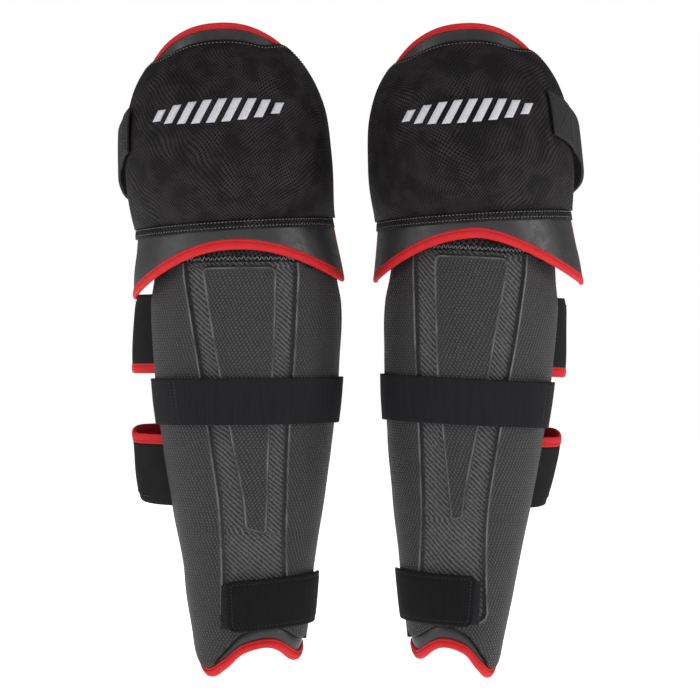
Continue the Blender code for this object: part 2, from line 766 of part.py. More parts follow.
def add_knee_dome(guard):
    """The padded knee dome: foam, a hard cap in it, and the mesh cover with its sewn hem."""
    cut, rows = guard.cut, []
    for up_share in spread_out(0, 1, 11):
        rows.append([dome_point(cut, side, up_share, 0.0) for side in spread_out(-1, 1, 15)])
    guard.skin("knee_cover", "knee", rows, COVER_WALL, "mesh_fabric")

    cup_depth = COVER_WALL + 2.1
    rows = []
    for up_share in spread_out(0.16, 0.84, 8):
        sides = spread_out(-0.66, 0.66, 9)
        rows.append([dome_point(cut, side, up_share, cup_depth) for side in sides])
    guard.skin("knee_cup", "knee", rows, CUP_WALL, "hard_plastic")

    foam_depth = cup_depth + CUP_WALL + 1.5
    outer, inner = [], []
    for up_share in spread_out(0.13, 0.87, 8):
        sides = spread_out(-0.72, 0.72, 9)
        outer.append([dome_point(cut, side, up_share, foam_depth) for side in sides])
        depths = [DOME_EDGE + dome_rise(side, up_share) - LAYER_GAP for side in sides]
        inner.append(
            [dome_point(cut, side, up_share, depth) for side, depth in zip(sides, depths)]
        )
    guard.block("knee_dome_foam", "knee", outer, inner, "foam")

    rows = []
    for height in (cut["hem"], cut["hem"] + HEM_WIDTH):
        angles = spread_out(-DOME_SIDE_ANGLE, DOME_SIDE_ANGLE, 15)
        rows.append([on_leg(KNEE_SECTIONS, angle, height, 3.4) for angle in angles])
    guard.skin("knee_hem", "knee", rows, 2.4, "mesh_fabric")


def dome_face(cut, angle, height, lift):
    """A point that stands lift above the dome's cover."""
    bottom = dome_bottom(cut)
    up_share = (height - bottom) / (dome_top(cut, angle) - bottom)
    offset = DOME_EDGE + dome_rise(angle / DOME_SIDE_ANGLE, up_share) + lift
    return on_leg(KNEE_SECTIONS, angle, height, offset)


def add_emblem(guard):
    """A plain embroidered bar across the dome."""
    long, tall = EMBLEM_SIZE
    radius = follow(KNEE_SECTIONS, EMBLEM_HEIGHT)[0] + DOME_RISE
    reach = math.degrees(math.asin(long / 2 / radius))
    rows = []
    for height in (EMBLEM_HEIGHT - tall / 2, EMBLEM_HEIGHT, EMBLEM_HEIGHT + tall / 2):
        angles = spread_out(-reach, reach, 8)
        rows.append([dome_face(guard.cut, angle, height, 1.9) for angle in angles])
    guard.skin("knee_badge", "knee", rows, 1.1, "badge")


def knee_strap_middle(angle):
    path = ((42, 466), (62, 455), (82, 440), (100, 427), (130, 414), (180, 408), (262, 426))
    return follow(path, angle)[0]


def add_knee_strap(guard):
    """The sewn webbing patch, the elastic behind the knee and the loop tab that it hooks on to."""
    rows = []
    for edge in (-0.45, 0.0, 0.45):
        row = []
        for angle in spread_out(guard.cut["strap_ends"]["knee"], 61.0, 4):
            height = knee_strap_middle(angle) + edge * KNEE_STRAP_WIDTH
            row.append(dome_face(guard.cut, angle, height, 2.6))
        rows.append(row)
    guard.skin("knee_strap_patch", "knee", rows, 1.5, "elastic")

    lift = ((66, 15.8), (74, 15.2), (84, 14.0), (96, 12.5), (115, 9), (140, 6), (180, 4), (247, 3))
    guard.band(
        "knee_strap",
        "knee_strap",
        KNEE_SECTIONS,
        [67, 74, 81, 88, 96, 105, 116, 128, 141, 154, 167, 180, 193, 206, 220, 234, 247],
        knee_strap_middle,
        KNEE_STRAP_WIDTH,
        lambda angle: follow(lift, angle)[0],
        KNEE_STRAP_THICKNESS,
        "elastic",
    )
    guard.band(
        "knee_loop_tab",
        "knee",
        KNEE_SECTIONS,
        [233, 243, 253, 262],
        knee_strap_middle,
        KNEE_STRAP_WIDTH - 4,
        lambda angle: -1.0,
        1.5,
        "elastic",
    )


def add_guard(name, side, shin, knee, cut):
    guard = Guard(name, side, shin, knee, cut)
    heights = {"mid_strap_tab": MID_STRAP["height"], "bottom_strap_tab": cut["bottom_strap"]["height"]}
    for body, lift in STRAP_PIVOT_OFFSET.items():
        pivot = on_leg(SHIN_SECTIONS, STRAP_PIVOT_ANGLE, heights[body], lift)
        guard.add_body(body, pivot, "shin")
    pivot = on_leg(KNEE_SECTIONS, KNEE_STRAP_PIVOT_ANGLE, 452.0, 17.0)
    guard.add_body("knee_strap", pivot, "knee")
    add_shin_shell(guard)
    add_shin_layers(guard)
    add_shin_edges(guard)
    add_ankle(guard)
    add_link_tabs(guard)
    add_calf_wrap(guard)
    add_mid_strap(guard)
    add_bottom_strap(guard)
    add_knee_backing(guard)
    add_knee_liner(guard)
    add_knee_dome(guard)
    add_emblem(guard)
    add_knee_strap(guard)


for leftover in list(bpy.data.objects):
    bpy.data.objects.remove(leftover, do_unlink=True)
PARTS = bpy.data.collections.new("hockey_knee_and_shin_guards")
bpy.context.scene.collection.children.link(PARTS)
for guard_name, pose in GUARDS.items():
    add_guard(guard_name, **pose)
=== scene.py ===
"""The detailed look of a pair of stick-hockey knee-and-shin guards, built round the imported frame.

Each guard is drawn in its own frame in millimetres: "across" grows towards the outer side of the
leg, "ahead" towards the front and "height" up the leg. Angles run round the leg from the front:
0 is the ridge of the shin, +90 the outer side, 180 the back and 270 the inner side.
"""

import math

import bpy
import numpy as np
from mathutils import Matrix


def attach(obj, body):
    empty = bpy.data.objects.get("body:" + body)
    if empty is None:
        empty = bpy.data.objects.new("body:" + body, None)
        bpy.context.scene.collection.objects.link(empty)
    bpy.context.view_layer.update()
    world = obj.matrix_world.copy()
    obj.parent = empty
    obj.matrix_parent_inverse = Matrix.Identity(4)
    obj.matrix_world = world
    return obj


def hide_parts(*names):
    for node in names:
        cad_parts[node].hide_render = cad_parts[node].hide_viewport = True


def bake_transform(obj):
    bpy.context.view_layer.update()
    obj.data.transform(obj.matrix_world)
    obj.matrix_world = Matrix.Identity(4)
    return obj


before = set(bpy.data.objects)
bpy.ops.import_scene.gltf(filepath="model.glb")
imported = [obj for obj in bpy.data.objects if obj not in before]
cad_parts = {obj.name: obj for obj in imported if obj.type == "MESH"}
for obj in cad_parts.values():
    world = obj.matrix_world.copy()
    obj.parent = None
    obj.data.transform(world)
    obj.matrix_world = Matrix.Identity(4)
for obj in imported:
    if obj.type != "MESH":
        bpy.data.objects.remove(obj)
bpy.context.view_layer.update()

MM = 0.001

# Each row of edges gives a height, and how far the inner channel, the inner and outer sides of
# the tongue and the outer channel lie from the ridge there.
GUARDS = {
    "right": {
        "side": -1,
        "shin": {"centre": 84.4, "lean": 0.6, "spread": 1.05, "twist": (-4.5, 6.5)},
        "knee": {"shift": 6.7, "lean": 2.9, "turn": 3.0, "spread": 1.035},
        "cut": {
            "flare": 0.11,
            "shell": {"top": 346.0, "tip": 124.0},
            "edges": (
                (65, 25.5, 11.5, 5.4, 20.9),
                (133, 25.2, 11.5, 5.4, 22.8),
                (200, 30.7, 16.9, 12.2, 27.7),
                (275, 40.0, 25.8, 19.6, 33.3),
                (335, 46.0, 31.6, 23.8, 38.6),
            ),
            "wings": ((152, 1.87), (190, 1.90), (215, 1.86), (256, 1.64), (290, 1.59), (322, 1.45)),
            "arch": {"centre": 356.0, "outer": (34.0, 2.0), "inner": (30.0, 2.2)},
            "hem": 372.0,
            "dome_reach": {"outer": 68.0, "inner": 56.0},
            "strap_ends": {"knee": 52.0, "mid": 50.0, "bottom": 21.0},
            "bottom_strap": {"height": 62.7, "tilt": 0.07},
            "flap_seam": 1.0,
        },
    },
    "left": {
        "side": 1,
        "shin": {"centre": 87.5, "lean": 2.9, "spread": 0.955, "twist": (0.0, 0.0)},
        "knee": {"shift": 2.6, "lean": -6.2, "turn": -2.6, "spread": 1.03},
        "cut": {
            "flare": 0.0,
            "shell": {"top": 355.0, "tip": 135.0},
            "edges": (
                (57, 32.3, 10.9, -0.9, 22.3),
                (90, 32.7, 10.9, -0.9, 20.0),
                (132, 33.2, 10.9, -0.9, 18.7),
                (164, 35.8, 15.2, 1.6, 20.6),
                (251, 44.1, 28.0, 14.6, 31.2),
                (289, 47.3, 31.3, 18.9, 36.0),
                (338, 51.0, 35.0, 25.2, 40.6),
            ),
            "wings": ((152, 1.32), (173, 1.45), (192, 1.55), (215, 1.45), (256, 1.24), (322, 0.98)),
            "arch": {"centre": 366.0, "outer": (42.0, 1.6), "inner": (30.0, 2.2)},
            "hem": 379.0,
            "dome_reach": {"outer": 62.0, "inner": 68.0},
            "strap_ends": {"knee": 43.0, "mid": 64.0, "bottom": 13.0},
            "bottom_strap": {"height": 66.8, "tilt": 0.0},
            "flap_seam": 9.5,
        },
    },
}
HINGE_HEIGHT = 345.0
TWIST_HEIGHTS = (150.0, 350.0)
PAIR_ACROSS = -1.6
PAIR_AHEAD = 18.0
PAIR_HEIGHT = -0.5

# Height, half width, front depth, back depth and middle of the sections through the leg.
SHIN_SECTIONS = (
    (0, 36, 42, 34, 17),
    (20, 37.5, 42, 34, 15),
    (60, 44.5, 45, 37, 11),
    (115, 53, 50, 46, 6),
    (150, 59, 54, 53, 4),
    (207, 66.5, 59, 60, 2),
    (265, 72, 63, 61, 1),
    (312, 73.5, 66, 57, 0),
    (333, 70.5, 67.5, 54, 0),
    (352, 68.5, 69, 52, 0),
)
KNEE_SECTIONS = (
    (318, 87, 79, 50, 0),
    (340, 84.5, 79, 50, 0),
    (364, 81, 79, 50, 0),
    (398, 77, 80, 52, 0),
    (430, 76, 80, 54, 0),
    (464, 74, 79, 55, -1),
    (489, 69.5, 77, 55, -2),
    (505, 66.5, 75, 54, -3),
    (522, 63.5, 73, 53, -4),
    (544, 60, 70, 52, -6),
)

SIDE_ANGLE = 92.0
TONGUE_SETBACK = 4.0
CHANNEL_END = 49.0
EDGE_BINDING_ANGLES = (93.8, 98.0)
ANKLE_EDGE = ((-92, 21), (-64, 14), (-22, 26), (10, 22), (35, 9), (61, 2), (92, 17))
ANKLE_BINDING_WIDTH = 8.0
ANKLE_PANEL_ANGLES = (-91.4, 46.0)
ANKLE_PANEL_PEAK = -16.0
FLARE_HEIGHT = 90.0
ANKLE_PANEL_HEIGHT = 10.4
KNEE_SIDE_ANGLE = 96.0
KNEE_TOP = 544.0
KNEE_TOP_DROP = 56.0
KNEE_BINDING_WIDTH = 8.0
KNEE_SIDE_BINDING = 5.5
KNEE_LINER_BOTTOM = 371.0
DOME_SIDE_ANGLE = 90.0
DOME_RISE = 24.0
DOME_EDGE = 3.4
DOME_TOP_SETBACK = 14.0
HEM_WIDTH = 8.0
MID_STRAP_HEIGHT = 231.0
STRAP_WIDTH = 38.0
BOTTOM_TAB_WIDTH = 41.5
ELASTIC = 2.4
PAD_CORNER = 5.0
WELT_INSET = 3.2
STRAP_REST = 4.1
WRAP_BOTTOM = ((98.5, 142), (104, 144), (112, 149), (122, 152), (261.5, 152))
WRAP_TOP = 322.0
WRAP_WALL = 3.5
NOTCH_HALF_HEIGHTS = (
    (98.5, 32.0, 37.0),
    (108, 32.0, 35.0),
    (115, 32.0, 31.0),
    (122, 32.0, 28.8),
    (150, 32.0, 28.8),
    (160, 30.3, 28.3),
    (170, 24.6, 24.2),
    (178, 14.3, 14.3),
)
NOTCH_TAPE = 8.5
NOTCH_TAPE_EDGE = 8.3
NOTCH_START = 98.5
NOTCH_END = 178.0
BADGE_HEIGHT = 468.0
BADGE_REACH = 46.0
BADGE_BARS = 9
BADGE_BAR = (6.6, 19.0)

# Share of a folded tape's width where its seam runs.
SEAM_PLACE = 0.72

RNG = np.random.default_rng(7)


# ---------------------------------------------------------------- shapes round the leg


def follow(table, at):
    """Columns of a table at many places, on smooth curves through its rows."""
    rows = np.array(table, float)
    keys, values = rows[:, 0], rows[:, 1:]
    at = np.clip(np.asarray(at, float), keys[0], keys[-1])
    row = np.clip(np.searchsorted(keys, at) - 1, 0, len(keys) - 2)
    before, after = np.maximum(row - 1, 0), np.minimum(row + 2, len(keys) - 1)
    span = (keys[row + 1] - keys[row])[..., None]
    share = (at - keys[row])[..., None] / span
    slope_in = (values[row + 1] - values[before]) / (keys[row + 1] - keys[before])[..., None]
    slope_out = (values[after] - values[row]) / (keys[after] - keys[row])[..., None]
    square, cube = share**2, share**3
    found = (
        values[row] * (2 * cube - 3 * square + 1)
        + values[row + 1] * (3 * square - 2 * cube)
        + slope_in * span * (cube - 2 * square + share)
        + slope_out * span * (cube - square)
    )
    return np.moveaxis(found, -1, 0)


def on_leg(sections, angle, height, offset):
    """Points at angles round the leg, offset outwards from its section at each height."""
    angle, height, offset = np.broadcast_arrays(
        np.asarray(angle, float), np.asarray(height, float), np.asarray(offset, float)
    )
    half_width, front, back, middle = follow(sections, height)
    turn = np.radians(angle)
    depth = np.where(np.cos(turn) > 0, front, back)
    across = (half_width + offset) * np.sin(turn)
    ahead = middle + (depth + offset) * np.cos(turn)
    return np.stack([across, ahead, height], -1)


def shin(angle, height, offset):
    return on_leg(SHIN_SECTIONS, angle, height, offset)


def knee(angle, height, offset):
    return on_leg(KNEE_SECTIONS, angle, height, offset)


def ankle_edge(angle):
    return follow(ANKLE_EDGE, angle)[0]


def panel_top(angle):
    """Upper edge of the smooth ankle panel, and lower edge of the moulded shell."""
    end = ANKLE_PANEL_ANGLES[1]
    share = np.clip((end - np.asarray(angle, float)) / (end - ANKLE_PANEL_PEAK), 0.0, 1.0)
    arch = np.sin(np.pi / 2 * share) ** 0.6
    return ankle_edge(angle) + ANKLE_BINDING_WIDTH + 0.6 + ANKLE_PANEL_HEIGHT * arch


def knee_top(angle):
    return KNEE_TOP - KNEE_TOP_DROP * (1 - np.cos(np.radians(angle))) ** 1.15


def knee_arch(cut, angle):
    """Lower edge of the knee part: it arches over the shin."""
    angle = np.asarray(angle, float)
    reach = np.abs(np.sin(np.radians(angle)))
    outer, inner = (cut["arch"][word] for word in ("outer", "inner"))
    drop = np.where(angle > 0, outer[0] * reach ** outer[1], inner[0] * reach ** inner[1])
    return cut["arch"]["centre"] - drop


def dome_bottom(cut):
    return cut["hem"] + HEM_WIDTH + 0.5


def dome_top(cut, angle):
    """Upper edge of the dome: it draws level with the backing's edge towards the sides."""
    angle = np.asarray(angle, float)
    reach = np.where(angle > 0, cut["dome_reach"]["outer"], cut["dome_reach"]["inner"])
    share = np.clip(2 * np.abs(angle) / reach - 1, 0.0, 1.0)
    return knee_top(angle) - 1.0 - DOME_TOP_SETBACK * (1 - share * share * (3 - 2 * share))


def dome_rise(side_share, up_share):
    return DOME_RISE * (1 - side_share**2) * (1 - np.abs(2 * up_share - 1) ** 4)


def dome_point(cut, side_share, up_share, lift):
    angle = side_share * DOME_SIDE_ANGLE
    bottom = dome_bottom(cut)
    height = bottom + (dome_top(cut, angle) - bottom) * up_share
    return knee(angle, height, DOME_EDGE + dome_rise(side_share, up_share) + lift)


def dome_face(cut, angle, height, lift):
    """A point that stands lift above the dome's cover, by angle and height."""
    angle, height = np.asarray(angle, float), np.asarray(height, float)
    bottom = dome_bottom(cut)
    up_share = (height - bottom) / (dome_top(cut, angle) - bottom)
    rise = dome_rise(angle / DOME_SIDE_ANGLE, np.clip(up_share, 0, 1))
    return knee(angle, height, DOME_EDGE + rise + lift)


def wrap_offset(cut, angle, height):
    shape = (
        (98.5, -3, 0),
        (103, 0, 10),
        (108, 0, 17),
        (120, 0, 20),
        (135, 3, 14),
        (150, 6, 3),
        (160, 5, 0),
        (172, 1, 0),
        (190, 0, 0),
        (252, 0, 0),
        (261.5, -3, 0),
    )
    offset, wing = follow(shape, angle)
    return offset + wing * follow(cut["wings"], height)[0]


def wrap_folds(angle, height):
    """Soft cross folds of the stretched sleeve, which die out at its sewn ends."""
    fold = np.sin(height / 11.0 + angle / 19.0) * np.sin(height / 29.0 + 1.3)
    return 0.7 * fold * np.clip((angle - 100) / 12, 0, 1) * np.clip((261 - angle) / 12, 0, 1)


def notch_reach(angle):
    """How far the sleeve's notch reaches above and below its middle."""
    return follow(NOTCH_HALF_HEIGHTS, np.minimum(angle, NOTCH_END))


def turned(axis, degrees):
    """A 3 x 3 rotation about Y or Z."""
    cos, sin = math.cos(math.radians(degrees)), math.sin(math.radians(degrees))
    if axis == "Y":
        return np.array([[cos, 0, sin], [0, 1, 0], [-sin, 0, cos]])
    return np.array([[cos, -sin, 0], [sin, cos, 0], [0, 0, 1]])


class Guard:
    """One guard: places points of its shin or knee part in the world, in metres."""

    def __init__(self, name, side, shin, knee, cut):
        self.name, self.side, self.cut = name, side, cut
        self.shin_pose, self.knee_pose = shin, knee
        across = side * shin["centre"] + PAIR_ACROSS
        self.base = np.array([across, PAIR_AHEAD, PAIR_HEIGHT])
        self.shin_turn = turned("Y", side * shin["lean"])
        self.knee_turn = turned("Z", side * knee["turn"]) @ turned("Y", side * knee["lean"])
        self.hinge = np.array([0.0, 0.0, HINGE_HEIGHT])
        self.knee_at = np.array([side * knee["shift"], 0.0, HINGE_HEIGHT])
        words = [(part, colour) for part in ("shin", "knee") for colour in ("red", "black", "grey")]
        self.threads = {word: Thread() for word in words}

    def place(self, points, part="shin"):
        across, ahead, height = np.moveaxis(np.asarray(points, float), -1, 0)
        if part == "knee":
            local = np.stack([self.side * self.knee_pose["spread"] * across, -ahead, height], -1)
            local = (local - self.hinge) @ self.knee_turn.T + self.knee_at
        else:
            across = across * (1 + self.cut["flare"] * np.maximum(1 - height / FLARE_HEIGHT, 0.0))
            low, high = TWIST_HEIGHTS
            foot, top = self.shin_pose["twist"]
            share = np.clip((height - low) / (high - low), 0.0, 1.0)
            turn = np.radians(foot + (top - foot) * share)
            swung = across * np.cos(turn) + ahead * np.sin(turn)
            ahead = ahead * np.cos(turn) - across * np.sin(turn)
            local = np.stack([self.side * self.shin_pose["spread"] * swung, -ahead, height], -1)
        return (local @ self.shin_turn.T + self.base) * MM

    def shin(self, angle, height, offset):
        return self.place(shin(angle, height, offset))

    def knee(self, angle, height, offset):
        return self.place(knee(angle, height, offset), "knee")

    def dome(self, angle, height, lift):
        return self.place(dome_face(self.cut, angle, height, lift), "knee")

    def dress(self, piece, look, body, *nodes, bend=None):
        """Gives a piece its look and its body, and hides the CAD nodes that it stands for.

        bend names a second body, and where the piece would start and stop bending towards it; these
        are not used, and a piece given bend is baked in place and attached to no body.
        """
        piece.data.materials.append(LOOKS[look])
        if bend:
            other, start, end = bend
            tuple(start)
            tuple(end)
            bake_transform(piece)
        else:
            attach(piece, f"{self.name}_{body}")
        if nodes:
            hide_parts(*(f"{self.name}_{node}" for node in nodes))


# ---------------------------------------------------------------- mesh making


def mesh_object(name, points, faces, uv=None):
    """A smooth mesh object in world coordinates, with its cloth coordinates in metres."""
    points = np.asarray(points, float).reshape(-1, 3)
    faces = np.asarray(faces, np.int64)
    mesh = bpy.data.meshes.new(name)
    mesh.vertices.add(len(points))
    mesh.vertices.foreach_set("co", points.ravel().astype(np.float32))
    mesh.loops.add(faces.size)
    mesh.loops.foreach_set("vertex_index", faces.ravel().astype(np.int32))
    mesh.polygons.add(len(faces))
    starts = np.arange(0, faces.size, faces.shape[1], dtype=np.int32)
    mesh.polygons.foreach_set("loop_start", starts)
    mesh.update(calc_edges=True)
    mesh.validate()
    if uv is not None:
        layer = mesh.uv_layers.new(name="cloth")
        uv = np.asarray(uv, np.float32).reshape(-1, 2)
        layer.data.foreach_set("uv", uv[faces.ravel()].ravel())
    mesh.shade_smooth()
    made = bpy.data.objects.new(name, mesh)
    bpy.context.scene.collection.objects.link(made)
    return made


def merged(name, parts):
    """One mesh object out of many parts, each with points, faces and cloth coordinates."""
    points, faces, uvs = zip(*parts)
    starts = np.cumsum([0] + [len(each) for each in points])
    faces = np.concatenate([each + start for each, start in zip(faces, starts)])
    uv = None if uvs[0] is None else np.concatenate(uvs)
    return mesh_object(name, np.concatenate(points), faces, uv)


def quads(rows, columns, closed=False):
    """Faces of a grid of points, as indices."""
    i, j = np.meshgrid(
        np.arange(rows - 1), np.arange(columns if closed else columns - 1), indexing="ij"
    )
    k = (j + 1) % columns
    corners = [i * columns + j, i * columns + k, (i + 1) * columns + k, (i + 1) * columns + j]
    return np.stack(corners, -1).reshape(-1, 4)


def lengths(grid, axis):
    """Running length along one axis of a grid of points."""
    step = np.linalg.norm(np.diff(grid, axis=axis), axis=-1)
    zero = np.zeros_like(np.take(step, [0], axis=axis))
    return np.concatenate([zero, np.cumsum(step, axis=axis)], axis=axis)


def unit(vectors):
    return vectors / np.maximum(np.linalg.norm(vectors, axis=-1, keepdims=True), 1e-9)


def cloth_uv(grid):
    """Cloth coordinates in metres: along the rows from their middle, and up the middle column."""
    u, v = lengths(grid, 1), lengths(grid, 0)
    middle = grid.shape[1] // 2
    v = np.repeat(v[:, middle][:, None], grid.shape[1], axis=1)
    return np.stack([u - u[:, middle][:, None], v], -1)


def widened(grid, wall, uv, axis, reach):
    """One more line of points past both ends of an axis, sunk a little into the wall."""
    grid, wall, uv = (np.swapaxes(a, 0, axis) for a in (grid, wall, uv))
    ends = []
    for edge, within in ((0, 1), (-1, -2)):
        away = unit(grid[edge] - grid[within])
        thick = np.linalg.norm(wall[edge], axis=-1, keepdims=True)
        ends.append(grid[edge] + away * thick * reach + wall[edge] * 0.2)
    grid = np.concatenate([ends[0][None], grid, ends[1][None]])
    wall, uv = (np.concatenate([a[:1], a, a[-1:]]) for a in (wall, uv))
    return tuple(np.swapaxes(a, 0, axis) for a in (grid, wall, uv))


def slab_parts(outer, inner, uv=None, reach=0.3):
    """Points, faces and cloth coordinates of a closed body with rounded edges."""
    uv = cloth_uv(outer) if uv is None else uv
    wall = inner - outer
    sides = []
    for side in ((outer, wall, uv), (inner, -wall, uv)):
        for axis in (0, 1):
            side = widened(*side, axis, reach)
        sides.append(side)
    (top, top_wall, top_uv), (under, _, _) = sides
    rows, columns = top.shape[:2]
    count = rows * columns
    upper = quads(rows, columns)
    middle = upper[len(upper) // 2 + (columns // 2 if rows > 3 else 0)]
    flat = top.reshape(-1, 3)
    a, b, c, d = flat[middle]
    inward = np.cross(c - a, d - b) @ top_wall.reshape(-1, 3)[middle[0]] > 0
    index = np.arange(count).reshape(rows, columns)
    rim = np.concatenate([index[0], index[1:, -1], index[-1, -2::-1], index[-2:0:-1, 0]])
    onward = np.roll(rim, -1)
    rim = np.stack([onward, rim, rim + count, onward + count], -1)
    faces = np.concatenate([upper, (upper + count)[:, ::-1], rim])
    if inward:
        faces = faces[:, ::-1]
    points = np.concatenate([flat, under.reshape(-1, 3)])
    return points, faces, np.concatenate([top_uv.reshape(-1, 2)] * 2)


def slab(name, outer, inner, uv=None, reach=0.3):
    """A closed body between two grids of points, with rounded edges."""
    return mesh_object(name, *slab_parts(outer, inner, uv, reach))


def sweep(name, rings, closed=False):
    """A body swept through rings of points: rings[station][point round the section]."""
    stations, around = rings.shape[:2]
    along = lengths(rings.mean(axis=1)[:, None], 0)[:, 0]
    round_it = lengths(rings[stations // 2][None], 1)[0]
    uv = np.stack(np.meshgrid(along, round_it, indexing="ij"), -1).reshape(-1, 2)
    faces = quads(stations, around, closed=True)
    points = rings.reshape(-1, 3)
    last = (stations - 1) * around
    if closed:
        j = np.arange(around)
        k = (j + 1) % around
        faces = np.concatenate([faces, np.stack([last + j, last + k, k, j], -1)])
    else:
        count = len(points)
        points = np.concatenate([points, [rings[0].mean(axis=0), rings[-1].mean(axis=0)]])
        uv = np.concatenate([uv, uv[:1], uv[-1:]])
        j = np.arange(0, around - 1, 2)
        k, far = j + 1, (j + 2) % around
        start = np.stack([far, k, j, np.full_like(j, count)], -1)
        end = np.stack([last + j, last + k, last + far, np.full_like(j, count + 1)], -1)
        faces = np.concatenate([faces, start, end])
    made = mesh_object(name, points, faces, uv)
    ring = rings[stations // 2]
    centre = ring.mean(axis=0)
    step = rings[min(stations // 2 + 1, stations - 1)].mean(axis=0) - centre
    if np.cross(ring[1] - ring[0], step) @ (ring[0] - centre) < 0:
        made.data.flip_normals()
    return made


STITCH_PROFILE = ((0.0, 0.0), (0.06, 0.7), (0.3, 1.0), (0.7, 1.0), (0.94, 0.7), (1.0, 0.0))
STITCH_SIDES = 6


class Thread:
    """Collects the stitches of one colour on one body, then makes them one piece."""

    def __init__(self):
        self.parts = []

    def row(self, point, path, pitch=3.2, length=2.3, radius=0.42, lift=0.25):
        """Stitches along a path: path(share) gives what point() takes, with the offset last."""
        fine = np.linspace(0, 1, 400)
        run = lengths(point(*path(fine))[None], 1)[0]
        number = max(int(run[-1] / (pitch * MM)), 1)
        at = (np.arange(number) + 0.5) / number * run[-1]
        ends = []
        for shift in (-0.5, 0.5):
            *where, offset = path(np.interp(at + shift * length * MM, run, fine))
            here = point(*where, offset)
            normal = unit(point(*where, offset + 3.0) - here)
            ends.append((here + normal * lift * MM, normal))
        self.add(ends[0][0], ends[1][0], ends[0][1], radius)

    def add(self, starts, ends, normals, radius):
        """One stitch for each start: a small capsule that dips into the cloth at its ends."""
        run = ends - starts
        along = unit(run)
        normals = unit(normals - along * (normals * along).sum(-1, keepdims=True))
        aside = np.cross(along, normals)
        points = []
        for at, wide in STITCH_PROFILE:
            dip = 0.75 * (1 - wide)
            for turn in np.linspace(0, 2 * np.pi, STITCH_SIDES, endpoint=False):
                rim = normals * (math.cos(turn) * wide - dip) + aside * (math.sin(turn) * wide)
                points.append(starts + run * at + rim * radius * MM)
        points = np.stack(points, 1)
        pattern = quads(len(STITCH_PROFILE), STITCH_SIDES, closed=True)[None]
        faces = pattern + (np.arange(len(starts)) * points.shape[1])[:, None, None]
        self.parts.append((points.reshape(-1, 3), faces.reshape(-1, 4), None))

    def make(self, name):
        return merged(name, self.parts)


# ---------------------------------------------------------------- materials


class Look:
    """A procedural material, with short calls for its nodes. Sizes are in millimetres."""

    def __init__(self, name, roughness, specular):
        self.material = bpy.data.materials.new(name)
        self.material.use_nodes = True
        self.tree = self.material.node_tree
        self.shader = self.tree.nodes["Principled BSDF"]
        self.shader.inputs["Roughness"].default_value = roughness
        self.shader.inputs["Specular IOR Level"].default_value = specular
        source = self.tree.nodes.new("ShaderNodeUVMap")
        source.uv_map = "cloth"
        parts = self.tree.nodes.new("ShaderNodeSeparateXYZ")
        self.tree.links.new(source.outputs[0], parts.inputs[0])
        self.u = self.math("MULTIPLY", parts.outputs[0], 1000.0)
        self.v = self.math("MULTIPLY", parts.outputs[1], 1000.0)
        self.place = self.tree.nodes.new("ShaderNodeTexCoord").outputs["Object"]

    def join(self, value, socket):
        if isinstance(value, bpy.types.NodeSocket):
            self.tree.links.new(value, socket)
        else:
            socket.default_value = value

    def math(self, operation, *values):
        node = self.tree.nodes.new("ShaderNodeMath")
        node.operation = operation
        for value, socket in zip(values, node.inputs):
            self.join(value, socket)
        return node.outputs[0]

    def wave(self, value, pitch):
        """A cosine of a length in millimetres, from -1 to 1."""
        return self.math("COSINE", self.math("MULTIPLY", value, 2 * math.pi / pitch))

    def scattered(self, kind, size, stretch=(1, 1, 1)):
        """A texture node of that feature size, fixed to the object."""
        mapping = self.tree.nodes.new("ShaderNodeMapping")
        self.tree.links.new(self.place, mapping.inputs["Vector"])
        mapping.inputs["Scale"].default_value = tuple(1000.0 / size * s for s in stretch)
        node = self.tree.nodes.new(kind)
        self.tree.links.new(mapping.outputs[0], node.inputs["Vector"])
        node.inputs["Scale"].default_value = 1.0
        return node

    def noise(self, size, detail=2.0, stretch=(1, 1, 1)):
        node = self.scattered("ShaderNodeTexNoise", size, stretch)
        node.inputs["Detail"].default_value = detail
        return node.outputs["Fac"]

    def cells(self, size):
        """Distance from the middle of the nearest of many small cells."""
        return self.scattered("ShaderNodeTexVoronoi", size).outputs["Distance"]

    def mixed(self, pattern, share, rest):
        """A share of one pattern, and the rest of another one."""
        return self.math("MULTIPLY_ADD", pattern, share, self.math("MULTIPLY", rest, 1 - share))

    def spread(self, value, low, high, new_low=0.0, new_high=1.0):
        """A smooth step from new_low to new_high as value goes from low to high."""
        node = self.tree.nodes.new("ShaderNodeMapRange")
        node.interpolation_type = "SMOOTHSTEP"
        self.join(value, node.inputs["Value"])
        for socket, number in (
            ("From Min", low),
            ("From Max", high),
            ("To Min", new_low),
            ("To Max", new_high),
        ):
            node.inputs[socket].default_value = number
        return node.outputs["Result"]

    def blend(self, share, low, high):
        """A colour between two, each a triple or a socket."""
        node = self.tree.nodes.new("ShaderNodeMix")
        node.data_type = "RGBA"
        self.join(share, node.inputs[0])
        for value, socket in ((low, node.inputs[6]), (high, node.inputs[7])):
            self.join((*value, 1.0) if isinstance(value, tuple) else value, socket)
        return node.outputs[2]

    def finish(self, colour, heights=(), roughness=None):
        """heights is a list of (socket from 0 to 1, depth in millimetres)."""
        self.join(colour, self.shader.inputs["Base Color"])
        if roughness is not None:
            self.join(roughness, self.shader.inputs["Roughness"])
        normal = None
        for value, depth in heights:
            bump = self.tree.nodes.new("ShaderNodeBump")
            bump.inputs["Strength"].default_value = 1.0
            bump.inputs["Distance"].default_value = depth * MM
            self.join(value, bump.inputs["Height"])
            if normal is not None:
                self.tree.links.new(normal, bump.inputs["Normal"])
            normal = bump.outputs["Normal"]
        if normal is not None:
            self.tree.links.new(normal, self.shader.inputs["Normal"])
        return self.material


